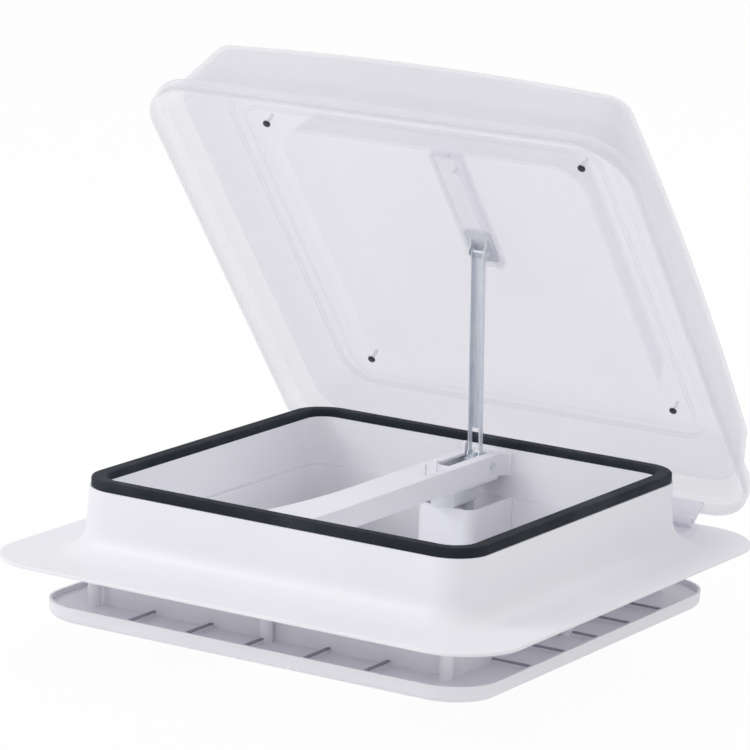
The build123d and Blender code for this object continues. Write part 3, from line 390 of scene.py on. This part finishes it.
@dataclass(frozen=True)
class OpalSheet:
    """Formed opal plastic sheet: milky, glossy, lets light through, slightly wavy."""

    name: str
    colour: Triple
    shade: Triple
    clear: float
    glow: float
    roughness: float = 0.2
    index: float = 1.49
    tint: Triple = (0.99, 0.988, 0.995)
    cloud_scale: float = 5.0
    cloud_detail: float = 4.0
    tone_span: Span = (0.25, 0.75)
    wave_scale: float = 11.0
    wave_detail: float = 1.0
    wave_strength: float = 0.12
    wave_height: float = 4.0 * MM

    def material(self) -> bpy.types.Material:
        """The finish as a material.

        Returns:
            A material with some light through it and a long soft waviness in its gloss.
        """
        made = FinishNodes(self.name)
        place = made.place()
        cloud = made.noise(place, self.cloud_scale, self.cloud_detail)
        wave = made.noise(place, self.wave_scale, self.wave_detail)
        ramp = made.tones(cloud, self.shade, self.colour, self.tone_span)
        made.bump(wave, self.wave_strength, self.wave_height)
        made.adjust(Roughness=self.roughness, IOR=self.index)
        milk = made.nodes.new("ShaderNodeBsdfTranslucent")
        made.links.new(ramp.outputs["Color"], milk.inputs["Color"])
        passing = made.nodes.new("ShaderNodeBsdfTransparent")
        passing.inputs["Color"].default_value = (*self.tint, 1.0)
        body = made.mixed(self.glow, made.shader.outputs["BSDF"], milk.outputs["BSDF"])
        made.surface(made.mixed(self.clear, body, passing.outputs["BSDF"]))
        return made.material


@dataclass(frozen=True)
class SealRubber:
    """Soft black sealing rubber: matt, with faint dusty streaks."""

    name: str = "seal_rubber_black"
    colour: Triple = (0.010, 0.014, 0.022)
    dust: Triple = (0.035, 0.042, 0.055)
    roughness: float = 0.7
    specular: float = 0.25
    skin_scale: float = 260.0
    skin_detail: float = 4.0
    skin_strength: float = 0.15
    skin_height: float = 0.3 * MM
    patch_scale: float = 18.0
    tone_span: Span = (0.45, 0.85)

    def material(self) -> bpy.types.Material:
        """The finish as a material.

        Returns:
            A dark material with a fine skin texture.
        """
        made = FinishNodes(self.name)
        place = made.place()
        skin = made.noise(place, self.skin_scale, self.skin_detail)
        made.tones(made.noise(place, self.patch_scale), self.colour, self.dust, self.tone_span)
        made.bump(skin, self.skin_strength, self.skin_height)
        made.adjust(Roughness=self.roughness, Specular_IOR_Level=self.specular)
        return made.material


@dataclass(frozen=True)
class PlatedMetal:
    """Plated or machined metal with fine drawn lines and mottled zinc."""

    name: str
    colour: Triple
    shade: Triple
    roughness: float
    metallic: float = 0.85
    lines: Triple = (500.0, 60.0, 60.0)
    line_detail: float = 3.0
    tone_span: Span = (0.3, 0.7)
    gloss_span: Span = (-0.08, 0.1)

    def material(self) -> bpy.types.Material:
        """The finish as a material.

        Returns:
            A metal with stretched noise as drawn lines.
        """
        made = FinishNodes(self.name)
        stretch = made.nodes.new("ShaderNodeMapping")
        stretch.inputs["Scale"].default_value = self.lines
        made.links.new(made.place(), stretch.inputs["Vector"])
        drawn = made.noise(stretch.outputs["Vector"], 1.0, self.line_detail)
        low, high = self.gloss_span
        made.tones(drawn, self.shade, self.colour, self.tone_span)
        made.gloss(drawn, (self.roughness + low, self.roughness + high))
        made.adjust(Metallic=self.metallic)
        return made.material


@dataclass(frozen=True)
class CappedScrew:
    """Screws with a dark cap and a pale shank, told apart by height in the closed lid."""

    name: str = "screw_capped"
    cap: Triple = (0.02, 0.02, 0.03)
    shank: Triple = (0.84, 0.84, 0.88)
    level: float = 75.35 * MM
    mottle_scale: float = 300.0
    gloss_span: Span = (0.4, 0.55)
    step_span: Span = (0.0, 0.5)
    swing: LidSwing = field(default_factory=LidSwing)

    def material(self) -> bpy.types.Material:
        """The finish as a material.

        A point's height in the closed lid is hinge + (p - hinge) . (0, sin a, cos a); points over
        the level belong to the shank.

        Returns:
            A two-tone material with a slightly uneven gloss.
        """
        made = FinishNodes(self.name)
        place = made.place()
        upright = (0.0, float(np.sin(self.swing.angle)), float(np.cos(self.swing.angle)))
        shift = made.nodes.new("ShaderNodeVectorMath")
        shift.operation = "SUBTRACT"
        shift.inputs[1].default_value = (0.0, self.swing.hinge_y, self.swing.hinge_z)
        height = made.nodes.new("ShaderNodeVectorMath")
        height.operation = "DOT_PRODUCT"
        height.inputs[1].default_value = upright
        over = made.nodes.new("ShaderNodeMath")
        over.operation = "GREATER_THAN"
        over.inputs[1].default_value = self.level - self.swing.hinge_z
        made.links.new(place, shift.inputs[0])
        made.links.new(shift.outputs["Vector"], height.inputs[0])
        made.links.new(height.outputs["Value"], over.inputs[0])
        ramp = made.tones(over.outputs["Value"], self.cap, self.shank, self.step_span)
        ramp.color_ramp.interpolation = "CONSTANT"
        made.gloss(made.noise(place, self.mottle_scale), self.gloss_span)
        return made.material


@dataclass
class Finishes:
    """All the vent's finishes, made once."""

    white: bpy.types.Material = field(init=False)
    grey: bpy.types.Material = field(init=False)
    lid: bpy.types.Material = field(init=False)
    lining: bpy.types.Material = field(init=False)
    nylon: bpy.types.Material = field(init=False)
    rubber: bpy.types.Material = field(init=False)
    steel: bpy.types.Material = field(init=False)
    capped: bpy.types.Material = field(init=False)
    pale: bpy.types.Material = field(init=False)
    rail: bpy.types.Material = field(init=False)
    aluminium: bpy.types.Material = field(init=False)
    net: bpy.types.Material = field(init=False)
    # Dark grey for the strips on the trough ribs: painted shade for the ribs' shadows.
    pad: bpy.types.Material = field(init=False)

    def __post_init__(self) -> None:
        """Makes each material, from its name, its bright tone and its darker one."""
        self.white = MouldedPlastic(
            "shell_white", (0.87, 0.865, 0.91), (0.84, 0.835, 0.88), 0.4
        ).material()
        self.grey = MouldedPlastic(
            "housing_grey", (0.60, 0.61, 0.66), (0.52, 0.53, 0.59), 0.45
        ).material()
        self.lid = OpalSheet(
            "lid_opal", (0.895, 0.888, 0.92), (0.86, 0.853, 0.885), clear=0.56, glow=0.55
        ).material()
        self.lining = OpalSheet(
            "lining_opal", (0.90, 0.893, 0.92), (0.87, 0.863, 0.895), clear=0.89, glow=0.4
        ).material()
        self.nylon = MouldedPlastic(
            "nylon_natural", (0.74, 0.75, 0.80), (0.66, 0.68, 0.74), 0.35, subsurface=0.2
        ).material()
        self.rubber = SealRubber().material()
        self.steel = PlatedMetal(
            "steel_zinc", (0.80, 0.84, 0.88), (0.70, 0.745, 0.80), 0.45
        ).material()
        self.capped = CappedScrew().material()
        self.pale = MouldedPlastic(
            "housing_pale", (0.78, 0.785, 0.83), (0.72, 0.73, 0.78), 0.4
        ).material()
        self.rail = OpalSheet(
            "rail_opal", (0.89, 0.885, 0.92), (0.85, 0.85, 0.89), clear=0.84, glow=0.5
        ).material()
        self.aluminium = PlatedMetal(
            "aluminium_mill", (0.68, 0.69, 0.71), (0.58, 0.59, 0.62), 0.38, metallic=0.9
        ).material()
        # Dark grey strips on the trough ribs are painted shade for the ribs' shadows, not a real
        # part.
        self.pad = MouldedPlastic(
            "rib_shade_grey", (0.34, 0.35, 0.40), (0.28, 0.29, 0.34), 0.6
        ).material()
        self.net = MouldedPlastic(
            "net_glassfibre", (0.22, 0.23, 0.25), (0.14, 0.15, 0.17), 0.6
        ).material()


def dress(node: str, material: bpy.types.Material) -> None:
    """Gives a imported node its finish."""
    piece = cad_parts[node]
    piece.data.materials.clear()
    piece.data.materials.append(material)


# Sub-assemblies


@dataclass
class LidDome:
    """Outer skin of the lid: rim, ledge, leaning walls, rounded shoulder and shallow crown."""

    half_x: float = 250.0 * MM
    half_y: float = 252.0 * MM
    corner: float = 55.0 * MM
    rim_bottom: float = 27.5 * MM
    rim_height: float = 14.0 * MM
    ledge: float = 10.0 * MM
    lean_x: float = 25.5 * MM
    lean_y: float = 12.0 * MM
    crown_top: float = 125.8 * MM
    crown_radius: float = 2866.0 * MM
    crown_middle: float = 4.0 * MM
    crown_blend: float = 0.3
    shoulder: float = 13.0 * MM
    ledge_round: float = 2.0 * MM
    rim_round: float = 2.5 * MM
    skin: float = 3.0 * MM
    lean_share: float = 1.02
    skin_share_x: float = 1.07
    skin_share_y: float = 1.04
    corner_loss: float = 0.62
    corner_limit: float = 0.9
    profile_steps: int = 7
    side_steps: int = 14
    corner_steps: int = 14
    swing: LidSwing = field(default_factory=LidSwing)

    def sheet(self, inset: float) -> np.ndarray:
        """One face of the skin, from the middle of the crown down to the rim.

        Each ring is a rounded rectangle; the rings' half sizes follow a rounded profile, and the
        height drops by (x^2 + y^2) / (2 R) times a weight that fades from 1 at the shoulder to 0
        at the ledge. The corners tighten up the walls, by a share of what the ledge leaves.

        Args:
            inset: Distance in from the outer face.

        Returns:
            Array of rings x points x 3, closed pose.
        """
        shelf = self.rim_bottom + self.rim_height - inset
        crown = self.crown_top - inset
        rim_x = self.half_x - inset
        rim_y = self.half_y - inset
        foot_x = self.half_x - self.ledge - inset * self.skin_share_x
        foot_y = self.half_y - self.ledge - inset * self.skin_share_y
        top_x = foot_x - self.lean_x * self.lean_share
        top_y = foot_y - self.lean_y * self.lean_share
        corners = np.array(
            [
                [self.crown_middle, self.crown_middle, crown],
                [top_x / 2, top_y / 2, crown],
                [top_x, top_y, crown],
                [foot_x, foot_y, shelf],
                [rim_x, rim_y, shelf],
                [rim_x, rim_y, self.rim_bottom],
            ]
        )
        radii = np.array(
            [0.0, self.crown_blend, self.shoulder - inset, self.ledge_round, self.rim_round, 0.0]
        )
        half_x, half_y, height = softened(corners, radii, self.profile_steps).T
        rim_corner = self.corner - inset
        reach = np.clip((height - shelf) / (crown - shelf), 0, 1)
        on_wall = (rim_corner - self.ledge) * (1 - self.corner_loss * reach)
        on_ledge = rim_corner - (rim_x - half_x)
        radius = np.where(half_x > rim_x - self.ledge, on_ledge, on_wall)
        radius = np.minimum(radius, half_x * self.corner_limit)
        ring = rounded_rings(half_x, half_y, radius, self.side_steps, self.corner_steps)
        drop = (ring**2).sum(axis=-1) / (2 * self.crown_radius)
        weight = np.clip((height - shelf) / (crown - self.shoulder - shelf), 0, 1)[:, None]
        z = height[:, None] - drop * weight
        return np.concatenate([ring, z[..., None]], axis=-1)

    def build(self, finishes: Finishes) -> bpy.types.Object:
        """Makes the closed shell of outer and inner faces, opened with the lid."""
        outer = self.sheet(0.0)
        inner = self.sheet(self.skin)[::-1]
        shell = np.concatenate([outer, inner], axis=0)
        piece = grid_mesh("lid_outer_skin", self.swing.opened(shell[::-1]), caps=True)
        piece.data.materials.append(finishes.lid)
        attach(piece, Body.LID.value)
        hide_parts("lid_dome")
        return piece


@dataclass
class SealRing:
    """Rubber seal: a rounded bulb with a faint waist, carried round the collar."""

    inner: float = 187.0 * MM
    width: float = 14.0 * MM
    base: float = 62.7 * MM
    height: float = 9.0 * MM
    lip_width: float = 2.53 * MM
    lip_height: float = 1.93 * MM
    corner: float = 21.0 * MM
    waist_share: float = 0.42
    waist_half: float = 0.6 * MM
    waist_depth: float = 0.35 * MM
    foot_round: float = 0.8 * MM
    waist_round: float = 0.4 * MM
    top_round: float = 3.2 * MM
    step_round: float = 0.3 * MM
    lip_round: float = 0.1 * MM
    section_steps: int = 6
    side_steps: int = 2
    corner_steps: int = 24

    def section(self) -> np.ndarray:
        """The seal's section, as distance in from its outer face and height.

        Returns:
            Closed rounded polyline, as rows.
        """
        low = self.base
        top = low + self.height
        waist = low + self.height * self.waist_share
        wide = self.width
        lip = wide - self.lip_width
        step = low + self.lip_height
        outline = (
            (0.0, low, self.foot_round),
            (0.0, waist - self.waist_half, self.waist_round),
            (self.waist_depth, waist, self.waist_round),
            (0.0, waist + self.waist_half, self.waist_round),
            (0.0, top, self.top_round),
            (wide, top, self.top_round),
            (wide, step, self.step_round),
            (lip, step, self.lip_round),
            (lip, low, self.lip_round),
        )
        corners = np.array(outline)
        return softened(corners[:, :2], corners[:, 2], self.section_steps, closed=True)

    def build(self, finishes: Finishes) -> bpy.types.Object:
        """Carries the section round the collar's rounded square."""
        inset, height = self.section().T
        half = self.inner + self.width - inset
        radius = self.corner + self.width - inset
        ring = rounded_rings(half, half, radius, self.side_steps, self.corner_steps)
        z = np.repeat(height[:, None], ring.shape[1], axis=1)
        points = np.concatenate([ring, z[..., None]], axis=-1)
        piece = grid_mesh("collar_seal", points, closed_rows=True)
        piece.data.materials.append(finishes.rubber)
        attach(piece, Body.BASE.value)
        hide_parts("lid_seal")
        return piece


@dataclass
class FlyscreenMesh:
    """Woven flyscreen: two layers of crossing threads, cut away round the crank cup."""

    half: float = 179.5 * MM
    pitch: float = 1.6 * MM
    thread: float = 0.3 * MM
    level: float = -49.8 * MM
    thickness: float = 0.6 * MM
    notch_half: float = 37.0 * MM
    notch_front: float = 103.0 * MM

    def build(self, finishes: Finishes) -> bpy.types.Object:
        """Lays the threads: lines at k * pitch both ways, stopped short at the notch.

        Returns:
            One piece of thin square threads.
        """
        count = int(self.half / self.pitch)
        place = np.arange(-count, count + 1) * self.pitch
        thick = self.thread / 2
        low_z = self.level
        mid_z = self.level + self.thickness / 2
        top_z = self.level + self.thickness
        end_y = np.where(np.abs(place) < self.notch_half, self.notch_front, self.half)
        full = place[place <= self.notch_front]
        part = place[place > self.notch_front]
        low = np.concatenate(
            [
                rows_of(place - thick, -self.half, low_z),
                rows_of(-self.half, full - thick, mid_z),
                rows_of(-self.half, part - thick, mid_z),
                rows_of(self.notch_half, part - thick, mid_z),
            ]
        )
        high = np.concatenate(
            [
                rows_of(place + thick, end_y, mid_z),
                rows_of(self.half, full + thick, top_z),
                rows_of(-self.notch_half, part + thick, top_z),
                rows_of(self.half, part + thick, top_z),
            ]
        )
        piece = boxes_mesh("flyscreen_threads", low, high)
        piece.data.materials.append(finishes.net)
        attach(piece, Body.BASE.value)
        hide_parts("flyscreen_net")
        return piece


@dataclass
class BarFlare:
    """Web that widens the crossbar's left front end towards the collar wall."""

    side: float = 18.5 * MM
    start_y: float = -30.0 * MM
    end_y: float = -184.0 * MM
    spread: float = 20.0 * MM
    power: float = 2.2
    low: float = 39.7 * MM
    high: float = 61.0 * MM
    sink: float = 0.5 * MM
    start_width: float = 0.2 * MM
    edge: float = 0.8 * MM
    edge_segments: int = 3
    steps: int = 40

    def build(self, finishes: Finishes) -> bpy.types.Object:
        """Extrudes the web's plan: its width grows by spread * t^power, with t from 0 to 1.

        Returns:
            One upright prism against the bar's side, with eased edges.
        """
        share = np.linspace(0.0, 1.0, self.steps)
        y = self.start_y + (self.end_y - self.start_y) * share
        outer = -self.side - self.start_width - self.spread * share**self.power
        curve = np.column_stack([outer, y])
        straight = rows_of(-self.side + self.sink, np.array([self.end_y, self.start_y]))
        plan = np.concatenate([curve, straight])
        levels = np.array([self.low, self.high])
        grid = np.concatenate(
            [
                np.broadcast_to(plan[None], (2, *plan.shape)),
                np.broadcast_to(levels[:, None, None], (2, len(plan), 1)),
            ],
            axis=-1,
        )
        piece = grid_mesh("bar_flare", grid, caps=True)
        ease = piece.modifiers.new("eased_edges", "BEVEL")
        ease.width = self.edge
        ease.segments = self.edge_segments
        ease.limit_method = "ANGLE"
        ease.harden_normals = True
        piece.data.materials.append(finishes.white)
        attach(piece, Body.BASE.value)
        return piece


@dataclass
class TroughShadeStrips:
    """Painted shade: dark grey strips on the ribs of the ceiling frame's trough, standing in for
    the shadows along the ribs.
    """

    rib_pitch: float = 60.7 * MM
    ribs_each_way: int = 2
    near: float = 187.0 * MM
    far_x: float = 225.0 * MM
    far_y: float = 228.0 * MM
    half_width: float = 1.5 * MM
    low: float = -41.6 * MM
    high: float = -40.05 * MM

    def build(self, finishes: Finishes) -> bpy.types.Object:
        """Sets a painted-shade strip on each rib: five ribs at k * pitch on each of the four
        sides.

        Returns:
            One piece of twenty thin boxes.
        """
        count = self.ribs_each_way
        lows = []
        highs = []
        for side in (-1.0, 1.0):
            from_x, to_x = np.sort(side * np.array([self.near, self.far_x]))
            from_y, to_y = np.sort(side * np.array([self.near, self.far_y]))
            for spot in np.arange(-count, count + 1) * self.rib_pitch:
                left = spot - self.half_width
                right = spot + self.half_width
                lows += [[left, from_y, self.low], [from_x, left, self.low]]
                highs += [[right, to_y, self.high], [to_x, right, self.high]]
        # These strips carry the painted shade along the trough ribs.
        piece = boxes_mesh("trough_rib_shade", np.array(lows), np.array(highs))
        piece.data.materials.append(finishes.pad)
        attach(piece, Body.BASE.value)
        return piece


@dataclass
class PackedPieces:
    """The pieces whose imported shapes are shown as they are, in their finishes."""

    finishes: Finishes

    def dress_all(self) -> None:
        """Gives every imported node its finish."""
        tones = self.finishes
        groups = (
            (tones.white, (
                "base_frame", "crossbar", "trim_frame", "crank_cup", "flyscreen_frame",
                "crank_handle", "base_hinge_leaf", "lid_hinge_leaf",
            )),
            (tones.grey, ("crank_knob",)),
            (tones.pale, ("gear_housing",)),
            (tones.lid, ("lid_dome",)),
            (tones.lining, ("lid_inner_skin",)),
            (tones.rail, ("guide_rail", "rail_screws")),
            (tones.nylon, ("guide_shoe", "shaft_bushes", "pivot_spacers")),
            (tones.rubber, ("lid_seal",)),
            (tones.steel, (
                "lift_arm", "arm_gear", "arm_pivot_pin", "hinge_pin", "shoe_pin", "arm_rivets",
                "worm", "crank_shaft", "knob_axle", "frame_screws", "crossbar_screws",
                "housing_screws", "cup_screws", "lid_hinge_screws",
            )),
            (tones.capped, ("lid_screws",)),
            (tones.aluminium, ("hinge_rivets",)),
            (tones.net, ("flyscreen_net",)),
        )
        for material, names in groups:
            for name in names:
                dress(name, material)


# Studio


@dataclass
class PhotoCamera:
    """Camera at the photograph's place, found from the outlines of the seal, flange and lid."""

    azimuth: float = 30.58
    elevation: float = 12.23
    roll: float = 2.71
    focal_pixels: float = 4374.54
    centre_pixel: tuple[float, float] = (385.88, 476.69)
    distance: float = 3.9563
    target_z: float = 68.0 * MM
    clip: Span = (0.1, 60.0)

    def build(self) -> bpy.types.Object:
        """Places the camera so that the target falls on its pixel.

        Returns:
            The camera object, set as the scene's camera.
        """
        azimuth, elevation, roll = np.radians([self.azimuth, self.elevation, self.roll])
        ahead = np.array([-np.sin(azimuth), np.cos(azimuth), 0.0]) * np.cos(elevation)
        forward = ahead - np.array([0.0, 0.0, np.sin(elevation)])
        level = np.array([np.cos(azimuth), np.sin(azimuth), 0.0])
        upright = np.cross(level, forward)
        right = level * np.cos(roll) + upright * np.sin(roll)
        up = -level * np.sin(roll) + upright * np.cos(roll)
        middle = PHOTO_PIXELS / 2
        ray = (
            forward
            + right * (self.centre_pixel[0] - middle) / self.focal_pixels
            - up * (self.centre_pixel[1] - middle) / self.focal_pixels
        )
        eye = np.array([0.0, 0.0, self.target_z]) - ray * self.distance
        data = bpy.data.cameras.new("photo_camera")
        data.sensor_width = SENSOR
        data.sensor_height = SENSOR
        data.sensor_fit = "HORIZONTAL"
        data.lens = self.focal_pixels / PHOTO_PIXELS * SENSOR
        data.clip_start, data.clip_end = self.clip
        camera = bpy.data.objects.new("photo_camera", data)
        matrix = np.eye(4)
        matrix[:3, 0] = right
        matrix[:3, 1] = up
        matrix[:3, 2] = -forward
        matrix[:3, 3] = eye
        camera.matrix_world = Matrix(matrix.tolist())
        bpy.context.scene.collection.objects.link(camera)
        bpy.context.scene.camera = camera
        return camera


def seen_by(nodes: Any, links: Any, *rays: str) -> Any:
    """The socket that is 1 for rays of the named kinds, the maximum of their 0 or 1 values."""
    kinds = nodes.new("ShaderNodeLightPath")
    seen = kinds.outputs[rays[0]]
    for ray in rays[1:]:
        either = nodes.new("ShaderNodeMath")
        either.operation = "MAXIMUM"
        links.new(seen, either.inputs[0])
        links.new(kinds.outputs[ray], either.inputs[1])
        seen = either.outputs["Value"]
    return seen


@dataclass
class Studio:
    """Pale floor, soft lamps and a white surround."""

    floor_level: float = -100.8 * MM
    floor_size: float = 24.0
    white: float = 1.0
    ambient: float = 0.74
    floor_tone: Triple = (0.92, 0.92, 0.92)
    floor_roughness: float = 0.9
    floor_glow_share: float = 0.95
    mirrored_size: float = 1.0
    clear_bounces: int = 32
    diffuse_bounces: int = 8
    lamps: tuple[tuple[str, Triple, Triple, float, float], ...] = (
        ("key_softbox", (-2.2, -2.2, 2.2), (0.0, 0.0, 0.0), 1.6, 35.0),
        ("top_softbox", (0.2, -0.5, 3.4), (0.0, 0.0, 0.0), 1.4, 7.0),
        ("back_softbox", (0.3, 2.8, 2.4), (0.0, 0.0, 0.2), 2.2, 15.0),
        ("well_softbox", (0.0, -0.06, -0.088), (0.0, -0.059, 0.3), 0.2, 0.5),
    )

    def floor(self) -> bpy.types.Object:
        """Large floor: white to the camera, with a faint shadow, and clear from below."""
        half = self.floor_size / 2
        square = np.array([[-half, -half], [half, -half], [half, half], [-half, half]])
        points = rows_of(square[:, 0], square[:, 1], self.floor_level)
        piece = mesh_piece("studio_floor", points, [[0, 1, 2, 3]])
        made = FinishNodes("floor_white")
        made.adjust(Base_Color=(*self.floor_tone, 1.0), Roughness=self.floor_roughness)
        glow = made.nodes.new("ShaderNodeEmission")
        glow.inputs["Strength"].default_value = self.white
        share = made.nodes.new("ShaderNodeMath")
        share.operation = "MULTIPLY"
        share.inputs[1].default_value = self.floor_glow_share
        rays = ("Is Camera Ray", "Is Glossy Ray", "Is Transmission Ray")
        seen = seen_by(made.nodes, made.links, *rays)
        made.links.new(seen, share.inputs[0])
        above = made.mixed(
            share.outputs["Value"], made.shader.outputs["BSDF"], glow.outputs["Emission"]
        )
        side = made.nodes.new("ShaderNodeNewGeometry")
        below = made.nodes.new("ShaderNodeBsdfTransparent")
        made.surface(made.mixed(side.outputs["Backfacing"], above, below.outputs["BSDF"]))
        piece.data.materials.append(made.material)
        return piece

    def surround(self) -> None:
        """World that is white to the camera and in reflections, and gives soft light."""
        world = bpy.data.worlds.new("studio_world")
        world.use_nodes = True
        nodes = world.node_tree.nodes
        links = world.node_tree.links
        background = nodes["Background"]
        bright = nodes.new("ShaderNodeBackground")
        for source, strength in ((background, self.ambient), (bright, self.white)):
            source.inputs["Color"].default_value = (1.0, 1.0, 1.0, 1.0)
            source.inputs["Strength"].default_value = strength
        mix = nodes.new("ShaderNodeMixShader")
        seen = seen_by(nodes, links, "Is Camera Ray", "Is Transmission Ray")
        links.new(seen, mix.inputs["Fac"])
        links.new(background.outputs["Background"], mix.inputs[1])
        links.new(bright.outputs["Background"], mix.inputs[2])
        links.new(mix.outputs["Shader"], nodes["World Output"].inputs["Surface"])
        bpy.context.scene.world = world

    def lights(self) -> None:
        """Hangs the soft lamps, each turned towards its target."""
        for name, place, target, size, power in self.lamps:
            data = bpy.data.lights.new(name, "AREA")
            data.shape = "SQUARE"
            data.size = size
            data.energy = power
            lamp = bpy.data.objects.new(name, data)
            lamp.visible_camera = False
            lamp.visible_glossy = size > self.mirrored_size
            way = np.array(place) - np.array(target)
            way = way / np.linalg.norm(way)
            side = np.cross([0.0, 0.0, 1.0], way)
            side = side / np.linalg.norm(side)
            matrix = np.eye(4)
            matrix[:3, 0] = side
            matrix[:3, 1] = np.cross(way, side)
            matrix[:3, 2] = way
            matrix[:3, 3] = place
            lamp.matrix_world = Matrix(matrix.tolist())
            bpy.context.scene.collection.objects.link(lamp)

    def build(self) -> None:
        """Sets the floor, the surround and the lamps."""
        self.floor()
        self.surround()
        self.lights()
        bpy.context.scene.view_settings.view_transform = "Standard"
        cycles = bpy.context.scene.cycles
        cycles.transparent_max_bounces = self.clear_bounces
        cycles.diffuse_bounces = self.diffuse_bounces


def main() -> None:
    """Builds the scene piece by piece."""
    logging.basicConfig(level=logging.INFO)
    finishes = Finishes()
    PackedPieces(finishes).dress_all()
    # The trough-rib strips are painted shade laid on the ribs.
    for assembly in (LidDome(), SealRing(), FlyscreenMesh(), BarFlare(), TroughShadeStrips()):
        piece = assembly.build(finishes)
        log.info("%s: %d faces", piece.name, len(piece.data.polygons))
    PhotoCamera().build()
    Studio().build()


if __name__ == "__main__":
    main()
